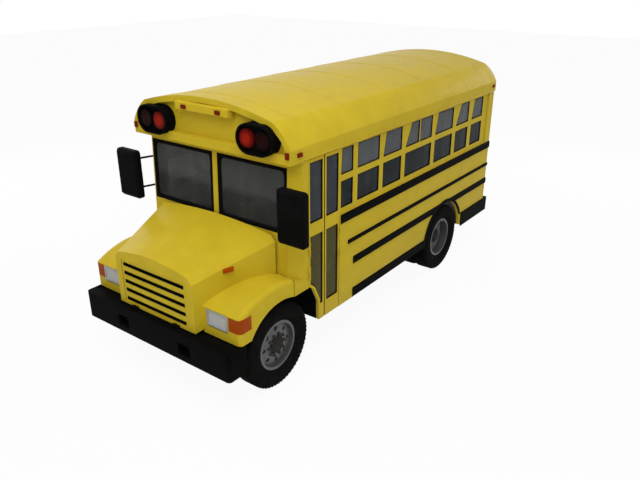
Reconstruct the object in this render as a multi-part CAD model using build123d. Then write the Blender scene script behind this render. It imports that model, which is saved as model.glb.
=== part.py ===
"""A short bonneted school bus, in millimetres: X forward, Y to the bus's left, Z up, ground at Z = 0."""
from build123d import *
from math import cos, hypot, radians, sin
import os

# Overall layout
FRONT_OVERHANG = 860.0      # front axle to the front bumper's face
WHEELBASE = 3980.0
REAR_OVERHANG = 1660.0      # rear axle to the rear bumper's face
BODY_WIDTH = 2440.0
FLOOR_Z = 1130.0
SKIRT_DROP = 570.0          # floor to the skirt's lower edge
BELT_RISE = 670.0           # floor to the joint of lower wall and window band
WINDOW_BAND = 840.0         # height of the window band
WALL = 45.0                 # thickness of side, front and rear walls
FLOOR_PLATE = 50.0
SEAT_GAP = 0.3              # clearance of pieces that sit against each other
SIDE_GAP = 8.0              # clearance of fixed pieces that pass each other
RUNNING_FIT = 0.06          # radial clearance of pins in bores
LAP = 1.0                   # overrun of a cut past the face that it opens

# Roof
GUTTER_RISE = 155.0         # eave to the crease where the roof's curve starts
SHOULDER_RISE = 267.0       # crease to the shoulder
SHOULDER_IN = 228.0         # roof's side to the shoulder
SHOULDER_BULGE = 26.0
CROWN_RISE = 143.0          # shoulder to the crown
ROOF_PROUD = 18.0           # roof's side beyond the wall
ROOF_SHELL = 45.0

# Wheels and axles
TYRE_RADIUS = 527.0
TYRE_WIDTH = 266.0
TREAD_WIDTH = 216.0
TREAD_ROUND = 14.0
RIM_RADIUS = 286.0
RIM_WIDTH = 192.0
RIM_WALL = 14.0
RIM_LIP = 18.0              # lip beyond the bead's seat
RIM_FLANGE = 12.0           # lip's thickness
FRONT_TYRE_IN = 163.0       # body side to the front tyre's middle
DUAL_CENTRE_IN = 300.0      # body side to the middle of the twin tyres
DUAL_SPACING = 320.0
KINGPIN_IN = 157.0          # front tyre's middle to the kingpin
KINGPIN_RADIUS = 20.0
EYE_RADIUS = 48.0
EYE_HALF_HEIGHT = 60.0
KNUCKLE_EAR = 50.0
KNUCKLE_GAP = 2.0
KNUCKLE_WEB = 34.0
SPINDLE_RADIUS = 34.0
SPINDLE_END = 50.0          # spindle beyond the front tyre's middle
REAR_SPINDLE_RADIUS = 50.0
REAR_SPINDLE_END = 20.0     # spindle beyond the outer twin's middle
HUB_RADIUS = 115.0
HUB_BACK = 40.0             # hub behind the front tyre's middle
DISC_FACE = 68.0            # disc's outer face beyond the front tyre's middle
DISC_RIM = 46.0             # the same where the disc meets the rim
DISC = 18.0
NUT_FLAT = 155.0            # radius of the disc's flat ring
TWIN_DISC = 15.0
HUB_CAP_RADIUS = 60.0
HUB_CAP = 20.0              # cap's depth beyond the hub's cone
HAND_HOLES = 8
HAND_HOLE_RADIUS = 27.0
HAND_HOLE_CIRCLE = 205.0

# Chassis
RAIL_DEPTH = 240.0
RAIL_OUTER_Y = 430.0
RAIL_FLANGE = 80.0
RAIL_PLATE = 12.0
SILL_HEIGHT = 150.0         # rails to the floor plate
SILL_WIDTH = 60.0
SILL_END = 60.0             # sill's end to the side wall
MEMBER_WIDTH = 80.0
MEMBER_HEIGHT = 58.0        # front cross member under the radiator
FRONT_SILLS = (1500.0, 2200.0)              # behind the front axle
REAR_SILLS = (800.0, -760.0, -1300.0)       # ahead of the rear axle
FRONT_MEMBERS = (900.0, 1900.0)             # behind the front axle
REAR_MEMBERS = (900.0, -500.0, -1440.0)     # ahead of the rear axle
SPRING_WIDTH = 74.0
SPRING_PACK = 58.0
SPRING_HALF_LENGTH = 560.0
SPRING_EYE = 60.0
SPRING_SHACKLE = 10.0
AXLE_PAD = (180.0, 74.0)    # length, and height above the rear axle's middle
AXLE_TUBE_RADIUS = 70.0
BEAM_DROP = 40.0            # front axle's middle down to its spring seat
BEAM_HEIGHT = 90.0
BEAM_WIDTH = 84.0
BEAM_RISE = 220.0           # length of the beam's upswept end
BEAM_END = 100.0            # height of the beam's upswept end
DIFF_RADIUS = 185.0
DIFF_NOSE = 90.0
DIFF_NOSE_RADIUS = 85.0
DRIVE_SHAFT_RADIUS = 42.0

# Engine, exhaust and tank
ENGINE_GAP = 80.0           # radiator to the engine's front face
ENGINE_LENGTH = 750.0
ENGINE_WIDTH = 580.0
ENGINE_DROP = 50.0          # rails' underside to the sump
ENGINE_RISE = 450.0         # rails' top to the rocker cover
ENGINE_MOUNT = (100.0, 60.0)  # length, height
GEARBOX_LENGTH = 530.0
GEARBOX_WIDTH = 360.0
GEARBOX_DROP = 77.0         # below the axles' height
GEARBOX_TOP = 70.0          # below the rails' top
RADIATOR_BACK = 160.0       # front bumper's face to the radiator
RADIATOR = 80.0
RADIATOR_TOP = 105.0        # below the hood's front edge
EXHAUST_OUT = 115.0         # rails' outer face to the exhaust's middle
EXHAUST_RISE = 73.0         # above the axles' height
EXHAUST_RADIUS = 45.0
EXHAUST_BEND = 130.0
EXHAUST_OVER = 205.0        # rear axle's middle up to the pipe over it
EXHAUST_START = 640.0       # behind the front axle
MUFFLER_RADIUS = 115.0
MUFFLER = (1290.0, 2240.0)  # ahead of the rear axle
TAIL_DROP = 87.0            # below the axles' height
TAIL_RADIUS = 50.8
TAIL_WALL = 6.0
TAIL_LENGTH = 330.0
TAIL_BORE = 90.0
TAIL_SET_IN = 10.0          # body's rear to the pipe's end
TANK = (850.0, 1850.0)      # ahead of the rear axle
TANK_ROUND = 60.0
TANK_IN = 90.0              # wall to the tank
TANK_UP = 45.0              # skirt's edge to the tank's underside

# Bumpers
FRONT_BUMPER_Z = (508.0, 850.0)
FRONT_BUMPER_DEPTH = 120.0
FRONT_BUMPER_WRAP = 280.0
BUMPER_ROUND = 45.0
BUMPER_IN = 4.0             # bumper's end behind the body side
BUMPER_PLATE = 16.0
REAR_BUMPER_Z = (522.0, 760.0)
REAR_BUMPER_DEPTH = 120.0
TOW_SLOT = (190.0, 150.0)   # width, height
TOW_SLOT_Y = 525.0
TOW_SLOT_UP = 147.0         # bumper's lower edge to the slot's middle
TOW_EYE_RADIUS = 25.0
TOW_EYE_PLATE = 25.0
TOW_EYE_ROUND = 45.0
TOW_EYE_Y = 400.0
TOW_EYE_IN = 50.0           # rear bumper's face to the eye
TOW_EYE_DROP = 58.0         # eye's centre below the bumper

# Wheel arches
REAR_ARCH_RADIUS = 600.0
FENDER_ARCH_RADIUS = 600.0
WHEEL_CLEARANCE_RADIUS = 640.0
WELL_PLATE = 6.0
WELL_GAP = 21.0             # inner twin tyre to the wheel well's side
WELL_OVER_TUBE = 60.0       # rear axle's tube to the edge of that side
WHEEL_CLEARANCE_Y = 400.0

# Front wall and windshield
COWL_BACK = 240.0           # front axle to the front wall's face at the floor
HEADER_RAKE = 62.0          # the same face's lean up to the eave
CORNER_DEPTH = 160.0        # corner chamfer along the bus
CORNER_IN = 110.0           # corner chamfer across the bus
WINDSHIELD_HEAD = 85.0      # eave to the glass
WINDSHIELD_SIDE = 25.0      # chamfer to the glass
WINDSHIELD_DIVIDER = 96.0
WINDSHIELD_INSET = 18.0     # glass behind the wall's face
GLASS = 6.0

# Entrance door
DOOR_POST = 105.0           # front wall's corner to the door opening
DOOR_OPENING = 615.0
DOOR_HEAD = 15.0            # eave to the door leaves
LEAF_THICKNESS = 38.0
LEAF_GAP = 10.0
MEET_GAP = 20.0
LEAF_SET_BACK = 4.0
STILE = 24.0
HINGE_RADIUS = 10.0
HINGE_PROUD = 12.0          # hinge axis beyond the wall
HINGE_LENGTH = 90.0
HINGE_RISES = (50.0, 350.0)  # above the floor
TAB_SINK = 5.0
TOE_BACK = (185.0, 85.0)    # lower front corner's two bends behind the opening's front edge
TOE_DROP = (315.0, 110.0, 40.0)  # bends and end of that corner below the floor
TOE_LIFT = 20.0             # the same corner of the glass, above the leaf's
LOWER_GLASS = (210.0, 90.0)  # above the skirt, below the belt
UPPER_GLASS = (70.0, 40.0)  # above the belt, below the leaf's top

# Hood body
HOOD_SET_BACK = 90.0        # grille face behind the bumper's face
HOOD_REAR_GAP = 15.0
HOOD_SHEET = 22.0
HOOD_FRONT_IN = 580.0       # body side to the hood's side at the grille
HOOD_REAR_IN = 260.0        # the same at the cowl
HOOD_REAR_DROP = 30.0       # belt down to the hood's rear edge
HOOD_SLOPE = 245.0          # fall of the hood from cowl to grille
HOOD_CROWN = 65.0
HOOD_BEVEL = (60.0, 70.0)   # across, down
HOOD_LOW = (14.0, 300.0)    # lower edge above the bumper, at the grille and at the cowl
HOOD_PIVOT_RISE = 30.0      # tilt axis above the bumper
HOOD_PIVOT_BACK = 65.0      # tilt axis behind the bumper's face
PIVOT_RADIUS = 12.0
EAR_Y = (330.0, 370.0)
EAR_WALL = 10.0
BRACKET = (44.0, 6.0)       # foot's length and thickness
LUG_RADIUS = 16.0
LUG_SIDE = 30.0             # bracket beyond the ear
FENDER_SET_BACK = 190.0     # fender face behind the bumper's face
FENDER_SHEET = 24.0
FENDER_UP = 12.0            # bumper's top to the fender's lower edge
FENDER_NOSE = 323.0         # heights above the lower edge
FENDER_CREST = 473.0
FENDER_TAIL = 438.0
FENDER_ROUND = 55.0
TAIL_SLOPE = (80.0, 12.0)   # fall of the fender's fixed tail at its rear and front
GRILLE_SIDE = 95.0          # hood's side to the grille
GRILLE_UP = 41.0            # hood's lower edge to the grille
GRILLE_HEIGHT = 535.0
GRILLE_SET_IN = 4.0
GRILLE_BAR = 40.0           # grille's side to its slots
GRILLE_SLOT = 42.0          # height
GRILLE_SLOTS = (40.0, 155.0, 265.0, 375.0, 485.0)  # above the grille's lower edge
HEADLAMP_IN = (475.0, 185.0)  # body side to the lamp's edges
HEADLAMP_UP = (123.0, 303.0)  # fender's lower edge to the lamp's edges
TURN_LAMP_IN = 165.0
TURN_LAMP_UP = (143.0, 313.0)
TURN_LAMP_LENGTH = 180.0
WEDGE_LAMP = (130.0, 56.0, 40.0)  # long, tall, proud
WEDGE_TAPER = 24.0
WEDGE_BACK = 510.0          # behind the bumper's face
WEDGE_DROP = 110.0          # below the hood's edge

# Roof cap and lamps
CAP_LENGTH = 228.0
CAP_PROUD = 8.0             # beyond the roof
CAP_RECESS = 68.0           # panel behind the rim
CAP_RIM = 60.0
CAP_SILL = 102.0            # eave to the panel's lower edge
VISOR_HALF = 420.0
VISOR_DROP = (190.0, 55.0)  # crown down to the visor's edges
VISOR_REACH = 110.0
VISOR_SLOPE = (30.0, 25.0)  # taper of the visor's underside and top
WARNING_POD = (520.0, 340.0)  # width, height
WARNING_POD_DEPTH = 150.0
REAR_POD_DEPTH = 80.0
WARNING_POD_IN = 405.0      # body side to the housing's middle
WARNING_POD_UP = 228.0      # eave to the housing's middle
POD_RIM = 22.0
POD_POCKET = 45.0
LENS_RADIUS = 108.0
LENS_DEPTH = 34.0
LENS_ROUND = 16.0
LENS_SPREAD = 118.0         # lens's middle from the housing's
MARKER = (70.0, 44.0, 20.0)  # long, tall, proud
MARKER_Y = 270.0            # on the visor
MARKER_UP = 70.0            # eave to the corner markers
MARKER_BACK = 40.0          # cap's rear edge to the side marker
STOP_LAMP_RADIUS = 88.0
TAIL_LAMP_RADIUS = 60.0
TAIL_LAMP_DEPTH = 26.0
TAIL_LAMP_IN = 210.0
TAIL_LAMP_DROP = (260.0, 470.0)  # belt down to the two lamps

# Rear wall
EXIT_HALF = 390.0
EXIT_SILL = 30.0            # floor to the opening
EXIT_HEAD = 80.0            # eave to the opening
EXIT_GLASS_SIDE = 105.0
EXIT_LOWER_GLASS = (160.0, 110.0)  # above the floor, below the belt
REAR_WINDOW_SIDE = (130.0, 210.0)  # from the exit's opening, from the body side
REAR_GLASS = (80.0, 170.0)  # above the belt, below the eave
EXIT_SET_BACK = 3.0

# Window band
SILL_RISE = 72.0            # belt to the lower panes
BAR_RISE = (410.0, 490.0)   # belt to the bar's edges
WINDOW_HEAD = 35.0          # eave to the upper panes
BAND_INSET = 22.0
REAR_POST = 260.0
MULLION = 26.0
# Columns: front edge and rear edge behind the door, lean of the upper pane's front edge, mullion's place
LEFT_WINDOWS = (
    (42.0, 294.0, 20.0, None),
    (395.0, 890.0, 0.0, None),
    (986.0, 1450.0, 60.0, None),
    (1554.0, 2300.0, 150.0, 1940.0),
    (2405.0, 2970.0, 70.0, None),
    (3076.0, 3516.0, 160.0, None),
    (3636.0, 4034.0, 75.0, None),
)
DRIVER_WINDOW = (-560.0, -60.0, 0.0, None)

# Rub rails: low edge and high edge above the skirt, front end behind the door
RAILS = (
    (1116.0, 1240.0, 15.0),
    (802.0, 858.0, 175.0),
    (482.0, 590.0, 300.0),
    (0.0, 140.0, 300.0),
)
RAIL_PROUD = 16.0
ARCH_TRIM = 42.0

# Cabin
BENCH_START = 410.0         # door to the first bench
BENCH_PITCH = 720.0
BENCH_ROWS = 5
AISLE_HALF = 225.0
BENCH_SIDE = 25.0           # wall to the bench
BENCH_DEPTH = 410.0
BENCH_RISE = 445.0          # floor to the cushion's top
BENCH_PAD = 95.0
BENCH_BACK = 75.0
BENCH_BACK_RISE = 960.0     # floor to the back's top
BENCH_LEAN = 110.0
BENCH_ROUND = 14.0
BENCH_LEG = 30.0
BENCH_LEG_IN = 60.0
DRIVER_IN = 570.0           # body side to the driver's middle
DRIVER_SEAT_WIDTH = 470.0
DRIVER_SEAT_BACK = 170.0    # behind the steering wheel's hub
DRIVER_SEAT_ROUND = 20.0
PEDESTAL = (300.0, 260.0)   # length, width
PEDESTAL_BACK = 80.0
# Columns: behind the seat's front edge, above the floor
DRIVER_SEAT_SIDE = (
    (0.0, 390.0), (0.0, 505.0), (420.0, 480.0), (520.0, 1110.0), (600.0, 1110.0), (510.0, 390.0),
)
HUB_BEHIND_COWL = 350.0
HUB_RISE = 770.0            # floor to the steering wheel's hub
STEER_TILT = 32.0           # column from upright, in degrees
STEER_RADIUS = 220.0
STEER_RIM = 14.0
STEER_BOSS = (48.0, 50.0)   # radius, length
STEER_SPOKE = (30.0, 14.0)  # width, thickness
SPOKE_ANGLES = (90.0, 210.0, 330.0)
COLUMN_RADIUS = 15.0
COLUMN_TUBE = (32.0, 45.0, 330.0)  # radius, start and end below the hub
COLUMN_END = 20.0           # column above the hub
DASH_GAP = 50.0             # front wall to the dashboard
DASH_RISE = 350.0           # floor to the dashboard's underside
DASH_DROP = 20.0            # belt to the dashboard's top
DASH_END = 110.0            # chamfer to the dashboard's outer end
DASH_DOOR_END = 280.0       # dashboard's end on the door's side
# Columns: behind the dashboard's front, below its top
DASH_LIP = ((0.0, 0.0), (90.0, 0.0), (170.0, 110.0))
DASH_FOOT = 150.0
CONSOLE_Y = (-330.0, 250.0)
CONSOLE_LENGTH = 140.0
STEP_START = 20.0           # door opening's rear edge to the step well
STEP_LENGTH = 400.0
STEP_WELL_IN = 535.0        # wall to the step well's inner side
STEP_DEPTH = 265.0
STEP_DROP = 265.0           # floor to the tread
STEP_PLATE = 15.0

# Mirrors
MIRROR_AHEAD = (120.0, 210.0)  # ahead of the cowl
MIRROR_OUT = (-80.0, 305.0)  # beyond the body side
MIRROR_UP = (0.0, 625.0)    # above the belt
MIRROR_ROUND = 45.0
MIRROR_BEVEL = 30.0
MIRROR_ARM_RADIUS = 13.0
MIRROR_ARM_UP = (130.0, 510.0)  # above the belt
ARM_ROOT = (50.0, 70.0)     # ahead of the corner, inside the body side
ARM_TIP = (20.0, 90.0)      # into the mirror's back, along its width

# Worked out from the sizes above
FRONT_X = (FRONT_OVERHANG + WHEELBASE + REAR_OVERHANG) / 2
REAR_X = -FRONT_X
FRONT_AXLE_X = FRONT_X - FRONT_OVERHANG
REAR_AXLE_X = FRONT_AXLE_X - WHEELBASE
AXLE_Z = TYRE_RADIUS
HALF = BODY_WIDTH / 2
INNER = HALF - WALL
SKIRT_Z = FLOOR_Z - SKIRT_DROP
BELT_Z = FLOOR_Z + BELT_RISE
EAVE_Z = BELT_Z + WINDOW_BAND
FLOOR_UNDER_Z = FLOOR_Z - FLOOR_PLATE
ROOF_HALF = HALF + ROOF_PROUD
CAP_HALF = ROOF_HALF + CAP_PROUD
GUTTER_Z = EAVE_Z + GUTTER_RISE
SHOULDER_Z = GUTTER_Z + SHOULDER_RISE
CROWN_Z = SHOULDER_Z + CROWN_RISE
BODY_REAR_X = REAR_X + REAR_BUMPER_DEPTH
CABIN_REAR_X = BODY_REAR_X + WALL
COWL_X = FRONT_AXLE_X - COWL_BACK
HEADER_X = COWL_X - HEADER_RAKE
CORNER_X = COWL_X - CORNER_DEPTH
CORNER_Y = HALF - CORNER_IN
WINDSHIELD_Z = (BELT_Z, EAVE_Z - WINDSHIELD_HEAD)
CAP_REAR_X = CORNER_X
CAP_FRONT_X = CAP_REAR_X + CAP_LENGTH
CAP_FACE_X = CAP_FRONT_X - CAP_RECESS
VISOR_Z = (CROWN_Z - VISOR_DROP[0], CROWN_Z - VISOR_DROP[1])
VISOR_FACE_X = CAP_FACE_X + VISOR_REACH
MARKER_Z = EAVE_Z + MARKER_UP
POD_Y = HALF - WARNING_POD_IN
POD_Z = EAVE_Z + WARNING_POD_UP
POD_PLACES = ((CAP_FACE_X, WARNING_POD_DEPTH, 1), (BODY_REAR_X, REAR_POD_DEPTH, -1))
FRONT_TYRE_Y = HALF - FRONT_TYRE_IN
KINGPIN_Y = FRONT_TYRE_Y - KINGPIN_IN
DUAL_CENTRE_Y = HALF - DUAL_CENTRE_IN
RAIL_Z = (FLOOR_UNDER_Z - SILL_HEIGHT - RAIL_DEPTH, FLOOR_UNDER_Z - SILL_HEIGHT)
RAIL_INNER_Y = RAIL_OUTER_Y - RAIL_FLANGE
CHANNEL_Y = RAIL_OUTER_Y - RAIL_PLATE
CHANNEL_Z = (RAIL_Z[0] + RAIL_PLATE, RAIL_Z[1] - RAIL_PLATE)
BEAM_TOP_Z = AXLE_Z - BEAM_DROP
DIFF_NOSE_X = REAR_AXLE_X + DIFF_RADIUS + DIFF_NOSE
RADIATOR_X = (FRONT_X - RADIATOR_BACK - RADIATOR, FRONT_X - RADIATOR_BACK)
ENGINE_X = (RADIATOR_X[0] - ENGINE_GAP - ENGINE_LENGTH, RADIATOR_X[0] - ENGINE_GAP)
GEARBOX_X = (ENGINE_X[0] - GEARBOX_LENGTH, ENGINE_X[0])
EXHAUST_Y = -RAIL_OUTER_Y - EXHAUST_OUT
EXHAUST_Z = AXLE_Z + EXHAUST_RISE
TAIL_Z = AXLE_Z - TAIL_DROP
TAIL_END_X = BODY_REAR_X + TAIL_SET_IN
DOOR_FRONT_X = CORNER_X - DOOR_POST
DOOR_REAR_X = DOOR_FRONT_X - DOOR_OPENING
DOOR_MID_X = DOOR_FRONT_X - DOOR_OPENING / 2
DOOR_TOP_Z = EAVE_Z - DOOR_HEAD
LEAF_Y = (HALF - LEAF_SET_BACK - LEAF_THICKNESS, HALF - LEAF_SET_BACK)
FRONT_LEAF_X = (DOOR_MID_X + MEET_GAP / 2, DOOR_FRONT_X - LEAF_GAP)
REAR_LEAF_X = (DOOR_REAR_X + LEAF_GAP, DOOR_MID_X - MEET_GAP / 2)
LOWER_GLASS_Z = (SKIRT_Z + LOWER_GLASS[0], BELT_Z - LOWER_GLASS[1])
UPPER_GLASS_Z = (BELT_Z + UPPER_GLASS[0], DOOR_TOP_Z - UPPER_GLASS[1])
HINGE_Y = HALF + HINGE_PROUD
HINGE_ZS = [FLOOR_Z + rise for rise in HINGE_RISES]
FRONT_HINGE_X = DOOR_FRONT_X - LEAF_GAP / 2
REAR_HINGE_X = DOOR_REAR_X + LEAF_GAP / 2
EXIT_HINGE_X = BODY_REAR_X - HINGE_PROUD
EXIT_HINGE_Y = -EXIT_HALF + LEAF_GAP / 2
EXIT_Z = (FLOOR_Z + EXIT_SILL, EAVE_Z - EXIT_HEAD)
EXIT_DOOR_X = (BODY_REAR_X + EXIT_SET_BACK, BODY_REAR_X + EXIT_SET_BACK + LEAF_THICKNESS)
EXIT_GLASS_HALF = EXIT_HALF - EXIT_GLASS_SIDE
REAR_GLASS_Z = (BELT_Z + REAR_GLASS[0], EAVE_Z - REAR_GLASS[1])
EXIT_GLASS_Z = ((FLOOR_Z + EXIT_LOWER_GLASS[0], BELT_Z - EXIT_LOWER_GLASS[1]), REAR_GLASS_Z)
REAR_WINDOW_Y = (EXIT_HALF + REAR_WINDOW_SIDE[0], HALF - REAR_WINDOW_SIDE[1])
SILL_Z = BELT_Z + SILL_RISE
BAR_Z = (BELT_Z + BAR_RISE[0], BELT_Z + BAR_RISE[1])
WINDOW_HEAD_Z = EAVE_Z - WINDOW_HEAD
HOOD_FRONT_X = FRONT_X - HOOD_SET_BACK
HOOD_REAR_X = COWL_X + HOOD_REAR_GAP
HOOD_EDGE_Z = BELT_Z - HOOD_REAR_DROP
# Columns: X, half width, low edge, edge height, crown height
HOOD_SECTIONS = (
    (HOOD_FRONT_X, HALF - HOOD_FRONT_IN, FRONT_BUMPER_Z[1] + HOOD_LOW[0], HOOD_EDGE_Z - HOOD_SLOPE,
     HOOD_EDGE_Z - HOOD_SLOPE + HOOD_CROWN),
    (
        HOOD_REAR_X, HALF - HOOD_REAR_IN, FRONT_BUMPER_Z[1] + HOOD_LOW[1],
        HOOD_EDGE_Z, HOOD_EDGE_Z + HOOD_CROWN,
    ),
)
GRILLE_HALF = HOOD_SECTIONS[0][1] - GRILLE_SIDE
GRILLE_LOW_Z = HOOD_SECTIONS[0][2] + GRILLE_UP
GRILLE_Z = (GRILLE_LOW_Z, GRILLE_LOW_Z + GRILLE_HEIGHT)
FENDER_FRONT_X = FRONT_X - FENDER_SET_BACK
FENDER_LOW_Z = FRONT_BUMPER_Z[1] + FENDER_UP
FENDER_TAIL_Z = FENDER_LOW_Z + FENDER_TAIL
HEADLAMP_Y = (HALF - HEADLAMP_IN[0], HALF - HEADLAMP_IN[1])
HEADLAMP_Z = (FENDER_LOW_Z + HEADLAMP_UP[0], FENDER_LOW_Z + HEADLAMP_UP[1])
TURN_LAMP_Z = (FENDER_LOW_Z + TURN_LAMP_UP[0], FENDER_LOW_Z + TURN_LAMP_UP[1])
PIVOT_X = FRONT_X - HOOD_PIVOT_BACK
PIVOT_Z = FRONT_BUMPER_Z[1] + HOOD_PIVOT_RISE
BENCH_Y = (AISLE_HALF, INNER - BENCH_SIDE)
BENCH_TOP_Z = FLOOR_Z + BENCH_RISE
DRIVER_Y = DRIVER_IN - HALF
COLUMN = Vector(-sin(radians(STEER_TILT)), 0, cos(radians(STEER_TILT)))
HUB = Vector(COWL_X - HUB_BEHIND_COWL, DRIVER_Y, FLOOR_Z + HUB_RISE)
STEP_WELL_X = (DOOR_REAR_X + STEP_START, DOOR_REAR_X + STEP_START + STEP_LENGTH)
STEP_WELL_Y = INNER - STEP_WELL_IN
STEP_EDGE_Y = STEP_WELL_Y + STEP_DEPTH
STEP_TREAD_Z = FLOOR_Z - STEP_DROP


def block(x, y, z):
    """A box from its low and high values along X, Y and Z."""
    size = Box(x[1] - x[0], y[1] - y[0], z[1] - z[0])
    return Pos(sum(x) / 2, sum(y) / 2, sum(z) / 2) * size


def around(middle, width):
    """Low and high values of a width about its middle."""
    return (middle - width / 2, middle + width / 2)


def side_plate(outline, y):
    """A closed X-Z outline, extruded across the bus from y[0] to y[1]."""
    face = make_face(Polyline(*[(px, y[0], pz) for px, pz in outline], close=True))
    return extrude(face, y[1] - y[0], dir=(0, 1, 0))


def front_plate(outline, x):
    """A closed Y-Z outline, extruded along the bus from x[0] to x[1]."""
    face = make_face(Polyline(*[(x[0], py, pz) for py, pz in outline], close=True))
    return extrude(face, x[1] - x[0], dir=(1, 0, 0))


def floor_plate(outline, z):
    """A closed X-Y outline, extruded upward from z[0] to z[1]."""
    face = make_face(Polyline(*[(px, py, z[0]) for px, py in outline], close=True))
    return extrude(face, z[1] - z[0], dir=(0, 0, 1))


def across(radius, x, z, y):
    """A cylinder across the bus."""
    return Pos(x, sum(y) / 2, z) * Rot(90, 0, 0) * Cylinder(radius, y[1] - y[0])


def along(radius, y, z, x):
    """A cylinder along the bus."""
    return Pos(sum(x) / 2, y, z) * Rot(0, 90, 0) * Cylinder(radius, x[1] - x[0])


def upright(radius, x, y, z):
    """A vertical cylinder."""
    return Pos(x, y, sum(z) / 2) * Cylinder(radius, z[1] - z[0])


def rod(start, end, radius):
    """A straight round bar between two points."""
    axis = Vector(*end) - Vector(*start)
    return Solid.make_cylinder(radius, axis.length, Plane(origin=start, z_dir=axis))


def opposite(shape):
    """The same piece on the bus's other side."""
    return mirror(shape, about=Plane.XZ)


def pair(shape):
    """A left piece and its opposite."""
    return [shape, opposite(shape)]


def turned(profile, x, y):
    """A profile of (axial, radial) points turned about a wheel's axle, axial outward on the left side."""
    points = [(x, y + axial, AXLE_Z + radial) for axial, radial in profile]
    return revolve(make_face(Polyline(*points, close=True)), Axis((x, y, AXLE_Z), (0, 1, 0)))


def save(name, *shapes):
    """Write one node, with all its solids."""
    flat = [one for shape in shapes for one in (shape if isinstance(shape, list) else [shape])]
    solids = [solid for shape in flat for solid in shape.solids()]
    export_step(solids[0] if len(solids) == 1 else Compound(solids), f"parts/{name}.step")


# Roof, cap and rear wall share one cross-section
def roof_face(x, inset=0.0, base_z=EAVE_Z):
    """The roof's cross-section at x, drawn in by inset, closed along base_z."""
    half = ROOF_HALF - inset
    gutter = (half, GUTTER_Z)
    shoulder = (ROOF_HALF - SHOULDER_IN - inset / 2, SHOULDER_Z - inset)
    crown = (0.0, CROWN_Z - inset)
    chord = hypot(gutter[0] - shoulder[0], shoulder[1] - gutter[1])
    out = ((shoulder[1] - gutter[1]) / chord, (gutter[0] - shoulder[0]) / chord)
    middle = [(g + s) / 2 + SHOULDER_BULGE * o for g, s, o in zip(gutter, shoulder, out)]

    def at(point, side=1):
        return (x, side * point[0], point[1])

    edges = [
        Line(at((half, base_z), -1), at((half, base_z))),
        Line(at((half, base_z)), at(gutter)),
        ThreePointArc(at(gutter), at(middle), at(shoulder)),
        ThreePointArc(at(shoulder), at(crown), at(shoulder, -1)),
        ThreePointArc(at(shoulder, -1), at(middle, -1), at(gutter, -1)),
        Line(at(gutter, -1), at((half, base_z), -1)),
    ]
    return make_face(edges)


def roof_slice(x, inset=0.0, base_z=EAVE_Z):
    """The roof's cross-section extruded along the bus from x[0] to x[1]."""
    return extrude(roof_face(x[0], inset, base_z), x[1] - x[0], dir=(1, 0, 0))


def make_roof():
    outer = roof_slice((CABIN_REAR_X, CAP_REAR_X))
    return outer - roof_slice((CABIN_REAR_X, CAP_REAR_X), ROOF_SHELL)


def make_front_cap():
    """The roof's front end: a rim round a recessed panel, with a visor for the middle markers."""
    cap = roof_slice((CAP_REAR_X, CAP_FRONT_X), -CAP_PROUD)
    cap -= roof_slice((CAP_FACE_X, CAP_FRONT_X), CAP_RIM, EAVE_Z + CAP_SILL)
    cap -= roof_slice((CAP_REAR_X, CAP_FACE_X - ROOF_SHELL), ROOF_SHELL, EAVE_Z + ROOF_SHELL)
    for y in (POD_Y, -POD_Y):
        cap -= pod_plate(WARNING_POD, (CAP_FACE_X, CAP_FRONT_X), y)
    low, high = VISOR_Z
    root = CAP_FACE_X - LAP
    outline = [
        (root, low), (VISOR_FACE_X, low + VISOR_SLOPE[0]),
        (VISOR_FACE_X, high - VISOR_SLOPE[1]), (root, high),
    ]
    return cap + side_plate(outline, (-VISOR_HALF, VISOR_HALF))


# Walls
def windows(table):
    """Window outlines as X-Z polygons: a lower pane, and one or two upper panes."""
    panes = []
    for front_back, rear_back, lean, mullion_back in table:
        front, rear = DOOR_REAR_X - front_back, DOOR_REAR_X - rear_back
        if rear < CABIN_REAR_X + REAR_POST:
            continue
        panes.append([(rear, SILL_Z), (front, SILL_Z), (front, BAR_Z[0]), (rear, BAR_Z[0])])
        top = [(rear, BAR_Z[1]), (front, BAR_Z[1]), (front - lean, WINDOW_HEAD_Z), (rear, WINDOW_HEAD_Z)]
        if mullion_back is None:
            panes.append(top)
        else:
            far, near = around(DOOR_REAR_X - mullion_back, MULLION)
            panes.append([(near, BAR_Z[1]), top[1], top[2], (near, WINDOW_HEAD_Z)])
            panes.append([top[0], (far, BAR_Z[1]), (far, WINDOW_HEAD_Z), top[3]])
    return panes


def upper_barrels():
    """Heights of the hinge barrels that a door frame carries, above the door's own."""
    return [(z + HINGE_LENGTH + SEAT_GAP, z + 2 * HINGE_LENGTH) for z in HINGE_ZS]


def hinge_tab(x, edge_x, z):
    """A hinge barrel on a vertical axis beside the entrance door, with its leaf out to edge_x."""
    tab = block(sorted((x, edge_x)), (INNER + WALL / 2, HINGE_Y), z)
    return upright(HINGE_RADIUS, x, HINGE_Y, z) + tab


def rear_arch(y):
    return across(REAR_ARCH_RADIUS, REAR_AXLE_X, AXLE_Z, y)


def make_side_wall_left():
    wall = block((CABIN_REAR_X, DOOR_REAR_X), (INNER, HALF), (SKIRT_Z, BELT_Z)) - rear_arch((INNER, HALF))
    for z in upper_barrels():
        wall += hinge_tab(REAR_HINGE_X, DOOR_REAR_X - STILE, z)
    return wall


def toe(front_x, back=0.0, lift=0.0):
    """The lower front corner that clears the steered wheel, from the skirt up to front_x."""
    bends = [front_x - back - toe_back for toe_back in TOE_BACK]
    low, middle, end = [FLOOR_Z - drop + lift for drop in TOE_DROP]
    return [(bends[0], low), (bends[1], middle), (front_x - back, end)]


def make_side_wall_right():
    corner = toe(DOOR_FRONT_X)
    outline = [(CABIN_REAR_X, SKIRT_Z), (corner[0][0], SKIRT_Z), *corner]
    outline += [(DOOR_FRONT_X, BELT_Z), (CABIN_REAR_X, BELT_Z)]
    return side_plate(outline, (-HALF, -INNER)) - rear_arch((-HALF, -INNER))


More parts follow.
